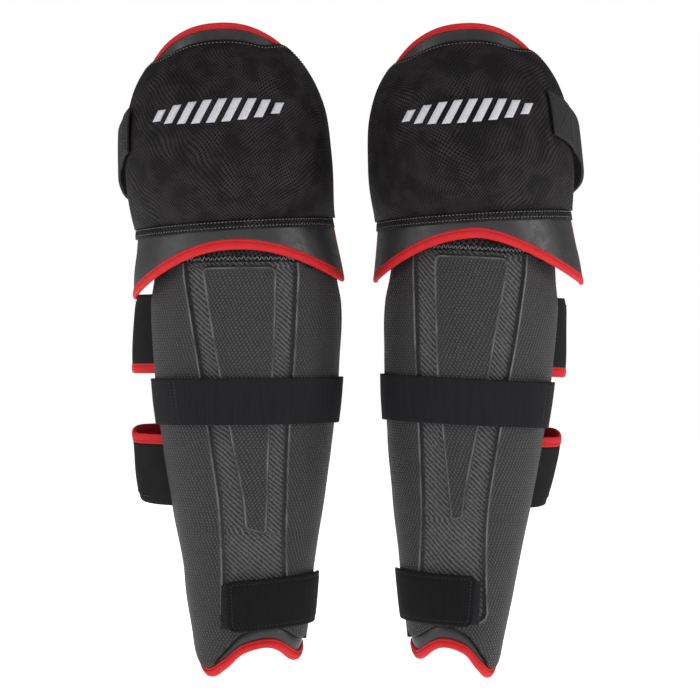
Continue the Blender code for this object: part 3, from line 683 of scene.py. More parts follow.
def moulded_look():
    """Embossed sheet: slanting staggered bumps, coarser in the channels, with painted highlights on
    the bumps' crests and on thin lips.
    """
    look = Look("moulded_shell_look", roughness=0.5, specular=0.35)
    source = look.tree.nodes.new("ShaderNodeVertexColor")
    source.layer_name = "relief"
    mask = look.tree.nodes.new("ShaderNodeSeparateColor")
    look.tree.links.new(source.outputs[0], mask.inputs[0])
    lip, deep = mask.outputs[0], mask.outputs[1]
    drift = look.math("MULTIPLY", look.noise(45, 1.0), 7.0)
    u = look.math("ADD", look.math("MULTIPLY_ADD", look.v, 0.32, look.u), drift)
    lattice = look.math("MULTIPLY", look.wave(u, 3.3), look.wave(look.v, 4.6))
    crumbs = look.noise(1.5, 2.0)
    fine = look.noise(0.7, 2.0)
    patchy = look.noise(24, 3.0)
    rough_lattice = look.math("MULTIPLY_ADD", crumbs, 0.9, look.math("ADD", lattice, -0.45))
    slant = look.math("MULTIPLY_ADD", look.v, 0.80, drift)
    ribs = look.math("MULTIPLY_ADD", crumbs, 1.1, look.math("ADD", look.wave(slant, 3.4), -0.55))
    change = look.math("SUBTRACT", ribs, rough_lattice)
    pattern = look.math("MULTIPLY_ADD", change, deep, rough_lattice)
    bump = look.spread(pattern, -0.3, 0.9)
    pebble = look.math("MULTIPLY", look.spread(crumbs, 0.40, 0.64), deep)
    # The bumps' crests are painted lighter than their hollows: painted highlight and shade of the
    # relief.
    low = look.blend(patchy, (0.010, 0.0094, 0.0099), (0.018, 0.0172, 0.0178))
    high = look.blend(fine, (0.030, 0.0288, 0.0298), (0.066, 0.0635, 0.0650))
    colour = look.blend(bump, low, high)
    # In the channels the crests are painted lighter still: a painted highlight.
    crest_highlight = look.blend(fine, (0.065, 0.063, 0.065), (0.135, 0.132, 0.135))
    channel = look.blend(bump, (0.016, 0.0155, 0.0162), crest_highlight)
    colour = look.blend(deep, colour, channel)
    # Pebble specks in the channels are painted lighter too: painted glints.
    colour = look.blend(look.math("MULTIPLY", pebble, 0.22), colour, (0.16, 0.16, 0.163))
    # Thin lips along the moulded edges are painted lighter in patches: a painted highlight on the
    # lips.
    lip_highlight = look.math("MULTIPLY", lip, look.spread(patchy, 0.35, 0.65, 0.12, 0.60))
    colour = look.blend(lip_highlight, colour, (0.22, 0.22, 0.226))
    roughness = look.spread(bump, 0.0, 1.0, 0.66, 0.44)
    relief = look.math("MULTIPLY", bump, look.spread(lip, 0.0, 0.7, 1.0, 0.0))
    return look.finish(colour, [(relief, 0.6), (pebble, 0.3), (fine, 0.10)], roughness)


def smooth_look():
    """Smooth coated panel: a faint leather grain and a soft shine."""
    look = Look("smooth_panel_look", roughness=0.4, specular=0.36)
    grain = look.spread(look.cells(0.9), 0.1, 0.6)
    patchy = look.noise(18, 3.0)
    colour = look.blend(patchy, (0.017, 0.0165, 0.0175), (0.032, 0.0315, 0.033))
    roughness = look.spread(look.noise(7, 2.0), 0.3, 0.7, 0.34, 0.48)
    return look.finish(colour, [(grain, 0.05), (patchy, 0.5)], roughness)


def mesh_look(name, pitch, tone, depth):
    """Spacer mesh: slanting rows of small holes between threads, stretched here and there."""
    look = Look(name, roughness=0.6, specular=0.12)
    drift = look.math("MULTIPLY", look.noise(60, 1.0), 26.0)
    u = look.math("MULTIPLY_ADD", look.v, 0.22, look.math("ADD", look.u, drift))
    v = look.math("MULTIPLY_ADD", look.math("MULTIPLY", look.u, look.u), 0.0035, look.v)
    v = look.math("MULTIPLY_ADD", look.noise(38, 1.0), 14.0, v)
    lattice = look.math("MULTIPLY", look.wave(u, pitch), look.wave(v, pitch * 1.25))
    crumbs = look.noise(1.3, 2.0)
    lattice = look.math("MULTIPLY_ADD", crumbs, 0.7, look.math("ADD", lattice, -0.35))
    hole = look.spread(lattice, -0.05, 0.5)
    thread = look.spread(look.wave(look.math("ADD", look.u, look.v), 0.9), -1.0, 1.0)
    patchy = look.spread(look.noise(16, 3.0), 0.35, 0.65)
    low = tuple(channel * 0.42 for channel in tone)
    high = tuple(channel * 2.6 for channel in tone)
    share = look.mixed(thread, 0.4, patchy)
    colour = look.blend(hole, look.blend(share, low, high), (0.0012, 0.001, 0.0012))
    height = look.math("SUBTRACT", 1.0, hole)
    return look.finish(colour, [(height, depth), (thread, 0.06)])


def elastic_look(name, low, high):
    """Woven elastic: fine ribs across the band."""
    look = Look(name, roughness=0.8, specular=0.14)
    ribs = look.spread(look.wave(look.u, 1.25), -1.0, 1.0)
    threads = look.spread(look.wave(look.v, 0.8), -1.0, 1.0)
    streak = look.noise(3.0, 3.0, stretch=(1, 1, 0.08))
    weave = look.math("MULTIPLY", ribs, threads)
    tone = look.math("MULTIPLY_ADD", weave, 0.45, look.math("MULTIPLY", streak, 0.6))
    return look.finish(look.blend(tone, low, high), [(weave, 0.22), (streak, 0.15)])


def tape_look(name, low, high):
    """Woven binding tape: fine slanting ribs."""
    look = Look(name, roughness=0.62, specular=0.25)
    slant = look.math("MULTIPLY_ADD", look.v, 0.6, look.u)
    ribs = look.spread(look.wave(slant, 1.0), -1.0, 1.0)
    # Blotchy noise makes the tape lighter and darker here and there, at random.
    mottle = look.noise(9, 3.0)
    tone = look.mixed(ribs, 0.35, mottle)
    return look.finish(look.blend(tone, low, high), [(ribs, 0.10), (mottle, 0.25)])


def neoprene_look():
    """Stretch sleeve: fine knit over foam."""
    look = Look("neoprene_look", roughness=0.85, specular=0.2)
    knit = look.math("MULTIPLY", look.wave(look.u, 1.1), look.wave(look.v, 0.9))
    knit = look.spread(knit, -0.8, 0.8)
    soft = look.noise(14, 3.0)
    tone = look.mixed(knit, 0.3, soft)
    colour = look.blend(tone, (0.0050, 0.0048, 0.0054), (0.0150, 0.0145, 0.0160))
    return look.finish(colour, [(knit, 0.12), (soft, 0.5)])


def lining_look():
    """Brushed lining with small vent holes in rows."""
    look = Look("lining_look", roughness=0.95, specular=0.15)
    dots = look.math("MULTIPLY", look.wave(look.u, 6.0), look.wave(look.v, 6.0))
    hole = look.spread(dots, 0.62, 0.85)
    nap = look.noise(0.8, 3.0)
    cloth = look.blend(nap, (0.016, 0.016, 0.0175), (0.036, 0.036, 0.039))
    colour = look.blend(hole, cloth, (0.002, 0.002, 0.002))
    height = look.math("SUBTRACT", 1.0, hole)
    return look.finish(colour, [(height, 0.6), (nap, 0.12)])


def foam_look():
    """Closed-cell foam, seen at its cut edges."""
    look = Look("foam_look", roughness=0.95, specular=0.2)
    cell = look.spread(look.cells(0.8), 0.05, 0.6)
    soft = look.noise(12, 2.0)
    tone = look.mixed(cell, 0.5, soft)
    colour = look.blend(tone, (0.065, 0.065, 0.070), (0.16, 0.16, 0.17))
    return look.finish(colour, [(cell, 0.12)])


def loop_look():
    """Loop tape: a mat of tiny tangled loops."""
    look = Look("loop_tape_look", roughness=0.95, specular=0.15)
    loops = look.spread(look.cells(0.55), 0.1, 0.7)
    soft = look.noise(4, 3.0)
    tone = look.mixed(loops, 0.6, soft)
    colour = look.blend(tone, (0.006, 0.0058, 0.0066), (0.026, 0.025, 0.028))
    return look.finish(colour, [(loops, 0.35)])


def webbing_look():
    """Plain-woven webbing with a firm basket weave."""
    look = Look("webbing_look", roughness=0.7, specular=0.3)
    weave = look.math("MULTIPLY", look.wave(look.u, 2.2), look.wave(look.v, 2.2))
    weave = look.spread(weave, -0.7, 0.7)
    soft = look.noise(6, 3.0)
    tone = look.mixed(weave, 0.6, soft)
    colour = look.blend(tone, (0.004, 0.0038, 0.0044), (0.020, 0.019, 0.021))
    return look.finish(colour, [(weave, 0.25)])


def embroidery_look():
    """Satin stitch: long shiny threads side by side."""
    look = Look("badge_look", roughness=0.45, specular=0.4)
    slant = look.math("MULTIPLY_ADD", look.u, 0.35, look.v)
    threads = look.spread(look.wave(slant, 0.62), -1.0, 1.0)
    soft = look.noise(1.6, 3.0)
    tone = look.mixed(threads, 0.4, soft)
    colour = look.blend(tone, (0.34, 0.34, 0.37), (0.78, 0.78, 0.82))
    return look.finish(colour, [(threads, 0.16)])


def thread_look(name, low, high):
    look = Look(name, roughness=0.5, specular=0.4)
    return look.finish(look.blend(look.noise(1.5, 2.0), low, high))


def plastic_look():
    """Hard cap inside the dome."""
    look = Look("hard_plastic_look", roughness=0.45, specular=0.5)
    soft = look.noise(10, 3.0)
    fine = look.noise(0.6, 2.0)
    colour = look.blend(soft, (0.07, 0.07, 0.075), (0.12, 0.12, 0.13))
    return look.finish(colour, [(fine, 0.05)])


LOOKS = {
    "moulded_shell": moulded_look(),
    "smooth_panel": smooth_look(),
    "mesh_fabric": mesh_look("mesh_look", 3.0, (0.0115, 0.0098, 0.0107), 0.8),
    "coarse_mesh": mesh_look("coarse_mesh_look", 4.2, (0.016, 0.015, 0.016), 0.9),
    "elastic": elastic_look("elastic_look", (0.0045, 0.0041, 0.0050), (0.0200, 0.0188, 0.0215)),
    "pad_cloth": elastic_look("pad_cloth_look", (0.0026, 0.0024, 0.0029), (0.0100, 0.0094, 0.0108)),
    "red_binding": tape_look("red_binding_look", (0.40, 0.005, 0.009), (0.70, 0.016, 0.022)),
    "black_binding": tape_look("black_binding_look", (0.004, 0.004, 0.0044), (0.015, 0.015, 0.016)),
    "neoprene": neoprene_look(),
    "lining_fabric": lining_look(),
    "foam": foam_look(),
    "loop_tape": loop_look(),
    "webbing": webbing_look(),
    "badge": embroidery_look(),
    "hard_plastic": plastic_look(),
    "red_thread": thread_look("red_thread_look", (0.22, 0.003, 0.005), (0.45, 0.008, 0.011)),
    "black_thread": thread_look("black_thread_look", (0.008, 0.008, 0.009), (0.03, 0.03, 0.032)),
    "grey_thread": thread_look("grey_thread_look", (0.10, 0.10, 0.105), (0.24, 0.24, 0.25)),
}


# ---------------------------------------------------------------- the shin


def edge_profile(distance):
    """Relief across a moulded edge: a thin lip on the raised side and a groove at its foot."""
    knots = (-30, -2.6, -1.5, -0.7, 0.0, 0.7, 1.3, 2.2, 3.2, 30)
    rise = (3.0, 3.0, 3.45, 3.75, 3.3, 1.3, 0.0, -0.35, 0.0, 0.0)
    return np.interp(distance, knots, rise)


def rounded(across, along, radius):
    """Distance outside a corner that is rounded, from the distances past its two edges."""
    a, b = across + radius, along + radius
    outside = np.hypot(np.maximum(a, 0), np.maximum(b, 0))
    return outside + np.minimum(np.maximum(a, b), 0) - radius


def shell_relief(cut, across, height):
    """How far the shell's face stands out of its channels' floor."""
    inner_channel, inner_tongue, outer_tongue, outer_channel = follow(cut["edges"], height)
    top, tip = cut["shell"]["top"] - TONGUE_SETBACK, cut["shell"]["tip"]
    beside = np.maximum(across - outer_tongue, -across - inner_tongue)
    above = rounded(beside, height - top, 5.0)
    below = rounded(beside, tip + across * 0.3 - height, 3.5)
    tongue = edge_profile(np.maximum(above, below))
    beyond = np.maximum(across - outer_channel, -across - inner_channel)
    channel = rounded(beyond, CHANNEL_END - height, 8.0)
    return np.maximum(tongue, edge_profile(-channel))


def shell_columns(cut, height):
    """Angles of the shell's columns at each height: they gather at the moulded edges."""
    near = np.array([-3.2, -2.2, -1.3, -0.7, 0.0, 0.7, 1.3, 2.2, 3.2])[:, None]
    inner_channel, inner_tongue, outer_tongue, outer_channel = follow(cut["edges"], height)
    edges = (-inner_channel, -inner_tongue, outer_tongue, outer_channel)
    stops = []
    for edge, following, count in zip(edges, edges[1:], (8, 24, 8)):
        between = np.linspace(0, 1, count)[1:-1, None]
        stops += [edge + near, edge + 3.2 + (following - edge - 6.4) * between]
    across = np.concatenate([*stops, edges[-1] + near])
    width = follow(SHIN_SECTIONS, height)[0]
    angle = np.degrees(np.arcsin(np.clip(across / width, -1, 1)))
    rest = np.linspace(0, 1, 22)[1:, None]
    inner = angle[0] + (-SIDE_ANGLE - angle[0]) * rest
    outer = angle[-1] + (SIDE_ANGLE - angle[-1]) * rest
    return np.concatenate([inner[::-1], angle, outer]).T


def shell_rows(cut):
    """Heights of the shell's rows, closer together where the tongue and channels end."""
    top, tip = cut["shell"]["top"], cut["shell"]["tip"]
    heights = [np.linspace(44, 60, 20), np.linspace(62, tip - 10, 24)]
    heights += [np.linspace(tip - 8, tip + 10, 22), np.linspace(tip + 13, top - 14, 72)]
    return np.concatenate([*heights, np.linspace(top - 12, top, 16)])


def add_mask(piece, shape, lip, recess):
    """Stores how much each point of a slab is a moulded lip, and how deep it lies."""
    grid = np.zeros((shape[0] + 2, shape[1] + 2, 4))
    grid[1:-1, 1:-1, 0], grid[1:-1, 1:-1, 1] = lip, recess
    values = np.concatenate([grid.reshape(-1, 4), np.zeros((grid.size // 4, 4))])
    layer = piece.data.color_attributes.new("relief", "FLOAT_COLOR", "POINT")
    layer.data.foreach_set("color", values.astype(np.float32).ravel())


def add_shell(guard):
    heights = shell_rows(guard.cut)
    angles = shell_columns(guard.cut, heights)
    grid_heights = np.repeat(heights[:, None], angles.shape[1], axis=1)
    # Below the channels the rows close up towards the arch over the ankle.
    foot_angles = angles[0]
    bottom = panel_top(foot_angles)
    low_rows = bottom + (heights[0] - bottom) * np.linspace(0, 1, 14)[:-1, None]
    angles = np.concatenate([np.repeat(foot_angles[None], 13, axis=0), angles])
    grid_heights = np.concatenate([low_rows, grid_heights])
    width = follow(SHIN_SECTIONS, grid_heights)[0]
    across = width * np.sin(np.radians(angles))
    relief = shell_relief(guard.cut, across, grid_heights)
    soft = 0.35 * np.sin(grid_heights / 23.0 + across / 31.0) * np.sin(across / 17.0)
    outer = guard.shin(angles, grid_heights, relief + soft)
    inner = guard.shin(angles, grid_heights, np.minimum(relief, 0.4) - 2.4)
    uv = cloth_uv(outer)
    uv[..., 1] = grid_heights * MM
    recess = np.clip((3.0 - relief) / 3.0, 0, 1)
    uv[..., 1] += uv[..., 0] * 0.9 * guard.side * recess
    piece = slab(f"{guard.name}_shell_face", outer, inner, uv, reach=0.15)
    add_mask(piece, outer.shape, np.clip((relief - 3.35) / 0.35, 0, 1), recess)
    guard.dress(piece, "moulded_shell", "shin", "shin_shell")


# Start of the pieces' names, foam's node, and the lining's flat size and area.
LAYERS = {
    "shin": ("", "shin_foam", (0.20, 0.34), 0.053),
    "knee": ("knee_", "knee_foam_liner", (0.23, 0.17), 0.030),
}


def add_layers(guard):
    """The foam and the lining behind the shell, and the ones behind the knee part."""
    for part, side, columns, rows, layers in (
        ("shin", 88, 70, 110, (("foam", -4.9, 5.6, 0.25), ("lining", -11.3, 1.5, 0.4))),
        ("knee", 86, 80, 80, (("foam", -3.6, 5.0, 0.25), ("lining", -9.6, 1.5, 0.25))),
    ):
        word, foam_node, flat, area = LAYERS[part]
        angle = np.linspace(-side, side, columns)[None]
        low, high = ankle_edge(angle) + ANKLE_BINDING_WIDTH + 1.5, guard.cut["shell"]["top"]
        if part == "knee":
            low, high = KNEE_LINER_BOTTOM, knee_top(angle) - 10.0
        height = low + (high - low) * np.linspace(0, 1, rows)[:, None]
        point = getattr(guard, part)
        for layer, offset, thickness, reach in layers:
            depth = offset - thickness
            if (part, layer) == ("shin", "lining"):
                depth = depth - 0.5 * np.abs(np.sin(np.radians(angle) * 6)) ** 0.4 + 0.35
            name = f"{guard.name}_{word}{'foam_layer' if layer == 'foam' else 'leg_lining'}"
            outer, inner = point(angle, height, offset), point(angle, height, depth)
            piece = slab(name, outer, inner, reach=reach)
            if layer == "foam":
                guard.dress(piece, "foam", part, foam_node)
            else:
                guard.dress(piece, "lining_fabric", part, f"{part}_lining")


TAPE = (
    (1.00, 0.35),
    (0.985, 0.75),
    (0.86, 1.0),
    (0.76, 1.0),
    (0.72, 0.72),
    (0.68, 1.0),
    (0.5, 1.18),
    (0.25, 1.1),
    (0.08, 0.75),
    (0.0, 0.1),
    (-0.02, -0.5),
    (0.05, -1.1),
    (0.3, -1.4),
    (0.7, -1.4),
    (0.97, -1.25),
    (1.0, -0.8),
)


def tape_profile(width, thickness):
    """Inset from the edge and offset from the middle of a folded tape's section."""
    profile = np.array(TAPE)
    return profile[:, 0] * width, profile[:, 1] * thickness / 2.6


def add_edge_bindings(guard):
    for word, sign in (("outer", 1), ("inner", -1)):
        bottom = float(ankle_edge(sign * SIDE_ANGLE)) + ANKLE_BINDING_WIDTH + 0.8
        height = np.linspace(bottom, guard.cut["shell"]["top"], 90)[:, None]
        around = np.linspace(0, 2 * np.pi, 20, endpoint=False)[None]
        low, high = EDGE_BINDING_ANGLES
        middle, reach = (low + high) / 2, (high - low) / 2
        # A flattened tube: rounder at its two faces than a plain box.
        cos, sin = np.cos(around), np.sin(around)
        angle = sign * (middle + reach * np.sign(cos) * np.abs(cos) ** 0.6)
        offset = -3.5 + 7.0 * np.sign(sin) * np.abs(sin) ** 0.6
        offset = offset + 0.25 * np.sin(height / 9.0)
        rings = guard.shin(angle, height, offset)
        piece = sweep(f"{guard.name}_{word}_edge_tape", rings)
        guard.dress(piece, "black_binding", "shin", f"{word}_edge_binding")


def add_top_band(guard):
    angles = np.linspace(-SIDE_ANGLE, SIDE_ANGLE, 140)[None]
    share = np.linspace(0, 1, 14)[:, None]
    low = guard.cut["shell"]["top"] + 0.8
    high = low + 4.0 + (363.0 - low) * np.maximum(np.cos(np.radians(angles)), 0.0)
    height = low + (high - low) * share
    puff = 1.0 + 0.8 * np.sin(np.pi * share)
    outer = guard.shin(angles, height, puff)
    inner = guard.shin(angles, height, -9.5 - puff)
    piece = slab(f"{guard.name}_top_mesh_band", outer, inner, reach=0.12)
    guard.dress(piece, "coarse_mesh", "shin", "shin_top_band")
    # Zigzag stitching along the band's lower edge.
    turns = np.linspace(-78, 78, 109)
    level = low + np.where(np.arange(109) % 2, 3.6, 0.8) + RNG.normal(0, 0.4, 109)
    line = guard.shin(turns, level, 2.1)
    above = guard.shin(turns, level, 4.0)
    guard.threads["shin", "grey"].add(line[:-1], line[1:], (above - line)[:-1], 0.34)


def add_ankle(guard):
    low_angle, high_angle = ANKLE_PANEL_ANGLES
    angles = np.linspace(low_angle, high_angle, 90)[None]
    share = np.linspace(0, 1, 16)[:, None]
    low = ankle_edge(angles) + ANKLE_BINDING_WIDTH + 0.1
    height = low + (panel_top(angles) - 0.4 - low) * share
    crown = 0.9 * np.sin(np.pi * share) - 0.9
    outer = guard.shin(angles, height, crown)
    inner = guard.shin(angles, height, -4.2)
    piece = slab(f"{guard.name}_ankle_smooth_panel", outer, inner, reach=0.2)
    guard.dress(piece, "smooth_panel", "shin", "ankle_panel")

    limit = EDGE_BINDING_ANGLES[1]
    angle = np.linspace(-limit, limit, 200)[:, None]
    inset, offset = tape_profile(ANKLE_BINDING_WIDTH, 7.4)
    height = ankle_edge(angle) + inset[None]
    rings = guard.shin(angle, height, offset - 2.0)
    piece = sweep(f"{guard.name}_ankle_tape", rings)
    guard.dress(piece, "red_binding", "shin", "ankle_binding")

    def seam(share):
        at = -limit + 2 + (2 * limit - 4) * share
        return at, ankle_edge(at) + SEAM_PLACE * ANKLE_BINDING_WIDTH, 0.2

    guard.threads["shin", "red"].row(guard.shin, seam, radius=0.38, lift=0.25)


def add_link_tabs(guard):
    """Elastic tabs between the shell and the knee part."""
    for word, sign in (("outer", 1), ("inner", -1)):
        share = np.linspace(0, 1, 40)[:, None]
        angles = sign * np.linspace(50, 66, 20)[None]
        height = guard.cut["shell"]["top"] - 5.0 + 7.5 * share
        offset = 4.1 + 0.4 * np.sin(share * np.pi)
        outer = guard.shin(angles, height, offset)
        inner = guard.shin(angles, height, offset - 1.1)
        piece = slab(f"{guard.name}_{word}_elastic_link", outer, inner, reach=0.3)
        bend = ("knee", outer[2, 10], outer[-3, 10])
        guard.dress(piece, "elastic", "shin", f"{word}_link_tab", bend=bend)


# ---------------------------------------------------------------- the calf sleeve


def add_calf_wrap(guard):
    """The stretch sleeve with its notch, its turned hems and the stitching along them."""
    high = WRAP_TOP
    middle = MID_STRAP_HEIGHT
    angles = np.concatenate([np.linspace(98.5, 108, 12), np.linspace(110, NOTCH_END, 34)])
    notch = len(angles) - 1
    angles = np.concatenate([angles, np.linspace(180.5, 252, 34), np.linspace(254, 261.5, 6)])
    above, below = notch_reach(angles)
    low = follow(WRAP_BOTTOM, angles)[0]
    shares = np.linspace(0, 1, 18)
    rows = [low + (middle - below - low) * share for share in shares]
    rows += [middle - below + (above + below) * share for share in np.linspace(0, 1, 10)[1:-1]]
    rows += [middle + above + (high - middle - above) * share for share in shares]
    height = np.array(rows)
    angle = np.repeat(angles[None], len(rows), axis=0)
    # Hems turn in a little, and the stretched cloth shows soft cross folds.
    hem = np.minimum(height - low, high - height)
    offset = wrap_offset(guard.cut, angle, height) - 1.0 * np.exp(-((hem / 5.0) ** 2))
    outer = guard.shin(angle, height, offset + wrap_folds(angle, height))
    faces = quads(*angle.shape)
    row, column = np.divmod(np.arange(len(faces)), len(angles) - 1)
    above_low = row >= len(shares) - 1
    in_notch = above_low & (row < len(rows) - len(shares)) & (column < notch)
    used, faces = np.unique(faces[~in_notch], return_inverse=True)
    points, uv = outer.reshape(-1, 3)[used], cloth_uv(outer).reshape(-1, 2)[used]
    piece = mesh_object(f"{guard.name}_calf_sleeve", points, faces.reshape(-1, 4), uv)
    centre = guard.shin(180.0, height.mean(), -60.0)
    face = piece.data.polygons[len(piece.data.polygons) // 3]
    if np.dot(np.array(face.normal), np.array(face.center) - centre) < 0:
        piece.data.flip_normals()
    wall = piece.modifiers.new("wall", "SOLIDIFY")
    wall.thickness = (WRAP_WALL - 0.4) * MM
    wall.offset = -1
    wall.use_even_offset = True
    bpy.context.view_layer.objects.active = piece
    bpy.ops.object.modifier_apply(modifier="wall")
    guard.dress(piece, "neoprene", "shin", "calf_wrap")

    for edge in ("low", "high"):

        def line(share, edge=edge):
            at = 104 + 152 * share
            level = follow(WRAP_BOTTOM, at)[0] + 6.0 if edge == "low" else high - 6.0
            return at, level, wrap_offset(guard.cut, at, level)

        guard.threads["shin", "black"].row(guard.shin, line, 3.4, 2.4, radius=0.4, lift=0.2)


def notch_outline(share):
    """Angle and side of the middle height along the notch's edge, from its top front end."""
    share = np.asarray(share, float)
    straight = 0.42
    go = np.clip(share / straight, 0, 1)
    back = np.clip((share - (1 - straight)) / straight, 0, 1)
    turn = np.clip((share - straight) / (1 - 2 * straight), 0, 1)
    angle = np.where(share < straight, NOTCH_START + (NOTCH_END - NOTCH_START) * go, NOTCH_END)
    angle = np.where(share > 1 - straight, NOTCH_END - (NOTCH_END - NOTCH_START) * back, angle)
    side = np.cos(np.pi * turn)
    return angle, side


def notch_point(guard, share, inset, lift):
    angle, side = notch_outline(share)
    above, below = notch_reach(angle)
    reach = np.where(side > 0, above, below)
    level = MID_STRAP_HEIGHT + side * np.maximum(reach - inset, 1.5)
    end = NOTCH_END - inset * 0.9
    place = np.minimum(angle, end)
    offset = wrap_offset(guard.cut, place, level) + wrap_folds(place, level)
    return guard.shin(place, level, offset + lift)


def add_notch_tape(guard):
    share = np.linspace(0, 1, 190)[:, None]
    inset, offset = tape_profile(NOTCH_TAPE, 4.4)
    # The tape's free edge lies in the notch, and its outer fold holds the sleeve's edge.
    rings = notch_point(guard, share, NOTCH_TAPE_EDGE - inset, offset - 1.4)
    piece = sweep(f"{guard.name}_notch_tape", rings)
    guard.dress(piece, "red_binding", "shin", "notch_binding")

    def point(share, inset, lift):
        return notch_point(guard, share, inset, lift)

    def seam(share):
        return share, NOTCH_TAPE_EDGE - SEAM_PLACE * NOTCH_TAPE, 0.0

    guard.threads["shin", "red"].row(point, seam, radius=0.38, lift=0.3)


# ---------------------------------------------------------------- straps


def band_piece(guard, name, part, angles, middle, width, lift, thickness):
    """A flat strap round the leg. middle and lift are functions of the angle."""
    share = np.linspace(-0.5, 0.5, 17)[:, None]
    height = middle(angles) + share * width
    surface = thickness + 0.12 * np.cos(share * np.pi * 2) + 0.10 * np.sin(angles * 1.7 + share * 3)
    point = getattr(guard, part)
    outer, inner = (point(angles, height, lift(angles) + more) for more in (surface, 0.0))
    return slab(f"{guard.name}_{name}", outer, inner, reach=0.12)


def fixed(height):
    """The middle of a level strap."""
    return lambda angle: height


def sloping(height, tilt):
    """The middle of a strap that slopes across the leg."""
    half_width = follow(SHIN_SECTIONS, height)[0]
    return lambda angle: height - tilt * half_width * np.sin(np.radians(angle))


def strap_stitches(guard, thread, angle, middle, width, lift):
    """A row of stitches across a strap."""

    def line(share):
        return angle, middle(angle) + (share - 0.5) * (width - 4), lift

    thread.row(guard.shin, line, pitch=2.8, length=2.0, radius=0.36, lift=0.1)


def add_mid_strap(guard):
    rest, end = STRAP_REST, guard.cut["strap_ends"]["mid"]
    lift = ((end - 12, rest), (88, rest), (96, rest + 0.7), (110, 4.0), (140, 4.0), (150, 5.5))
    lift += ((160, 7.5), (172, 5.5), (186, 2.2), (240, 2.0), (256, 4.0), (265.5, rest + 0.8))
    lift += ((278, rest), (326 + end, rest), (344 + end, rest + 3.6), (360 + end, rest + 3.6))
    middle = fixed(MID_STRAP_HEIGHT)

    def height_of(angle):
        return follow(lift, angle)[0]

    fixed_part = np.concatenate([np.linspace(end - 12, 150, 80), np.linspace(151, 250, 70)])
    free_part = np.concatenate([np.linspace(250.2, 290, 40), np.linspace(291, 360 + end, 110)])
    band = (middle, STRAP_WIDTH, height_of, ELASTIC)
    piece = band_piece(guard, "calf_elastic", "shin", fixed_part, *band)
    guard.dress(piece, "elastic", "shin", "mid_strap")
    tab = band_piece(guard, "calf_elastic_tab", "shin", free_part, *band)
    hinge = guard.shin(266.7, MID_STRAP_HEIGHT, 6.6)
    span = np.array([0, 7 * MM, 0])
    bend = ("mid_strap_tab", hinge + span, hinge - span)
    guard.dress(tab, "elastic", "shin", "mid_strap_tab", bend=bend)
    thread = Thread()
    for angle in (357.0 + end, 353.0 + end):
        strap_stitches(guard, thread, angle, middle, STRAP_WIDTH, rest + 3.6 + ELASTIC)
    piece = thread.make(f"{guard.name}_calf_tab_stitching")
    guard.dress(piece, "black_thread", "mid_strap_tab")


def add_bottom_strap(guard):
    rest = STRAP_REST
    lift = ((98.5, -2), (112, 1.0), (180, 1.0), (244, 2.0), (256, 4.0), (265.5, rest + 0.8))
    end = 360 + guard.cut["strap_ends"]["bottom"]
    lift += ((282, rest + 0.2), (end - 29, rest + 0.2), (end - 15, rest + 3.2), (end, rest + 3.2))
    middle = sloping(**guard.cut["bottom_strap"])

    def height_of(angle):
        return follow(lift, angle)[0]

    band = (np.linspace(98.5, 264.5, 120), middle, STRAP_WIDTH, height_of, ELASTIC)
    piece = band_piece(guard, "ankle_elastic", "shin", *band)
    guard.dress(piece, "elastic", "shin", "bottom_strap")
    # The padded tab: rounded corners, and a welt sewn all round.
    angles = np.concatenate([np.linspace(265.8, 276, 16), np.linspace(276.8, end, 104)])
    share = np.linspace(-0.5, 0.5, 31)[:, None]
    run = np.minimum(angles - angles[0], angles[-1] - angles) * 0.79
    sink = PAD_CORNER - np.sqrt(PAD_CORNER**2 - np.maximum(PAD_CORNER - run, 0) ** 2)
    height = middle(angles) + share * (BOTTOM_TAB_WIDTH - 2 * sink)
    border = np.minimum(run, (0.5 - np.abs(share)) * BOTTOM_TAB_WIDTH)
    welt = 0.7 * np.exp(-(((border - WELT_INSET) / 0.8) ** 2))
    sunk = welt + 0.5 * np.exp(-((border / 1.4) ** 2))
    outer = guard.shin(angles, height, height_of(angles) + 3.0 - sunk)
    inner = guard.shin(angles, height, height_of(angles) + 0.1)
    tab = slab(f"{guard.name}_ankle_pad", outer, inner, reach=0.15)
    guard.dress(tab, "pad_cloth", "bottom_strap_tab", "bottom_strap_tab")

    thread = Thread()
    for side in (1, -1):

        def line(share, side=side):
            at = 270.0 + (end - 274.0) * share * 0.998
            return at, middle(at) + side * (BOTTOM_TAB_WIDTH / 2 - WELT_INSET), height_of(at) + 2.2

        thread.row(guard.shin, line, lift=0.15, radius=0.34)
    lift_at = height_of(end - 4) + 2.3
    strap_stitches(guard, thread, end - 4, middle, BOTTOM_TAB_WIDTH - 3, lift_at)
    piece = thread.make(f"{guard.name}_ankle_pad_stitching")
    guard.dress(piece, "black_thread", "bottom_strap_tab")


def add_loop_patch(guard):
    """The plate of loop tape that the ankle pad hooks on to: it bends once, where the pad ends."""
    end = guard.cut["strap_ends"]["bottom"]
    middle = guard.cut["bottom_strap"]["height"] - 1.5
    share, up = np.meshgrid(np.linspace(0, 1, 32), np.linspace(-18, 18, 40))
    corner = np.minimum(np.minimum(share, 1 - share) * 20.0, 18 - np.abs(up))
    faces = []
    for lift, soft in ((2.25, 0.25), (0.75, 0.0)):
        bends = shin(end + np.array([-11.0, 0.6, 7.0]), middle, STRAP_REST + lift)
        flat = [np.interp(share, (0.0, 0.6, 1.0), bends[:, axis]) for axis in range(3)]
        flat[1] = flat[1] - soft * np.exp(-((corner / 1.2) ** 2))
        faces.append(guard.place(np.stack([flat[0], flat[1], flat[2] + up], -1)))
    piece = slab(f"{guard.name}_loop_plate", *faces, reach=0.1)
    guard.dress(piece, "loop_tape", "shin", "bottom_loop_patch")


# ---------------------------------------------------------------- the knee


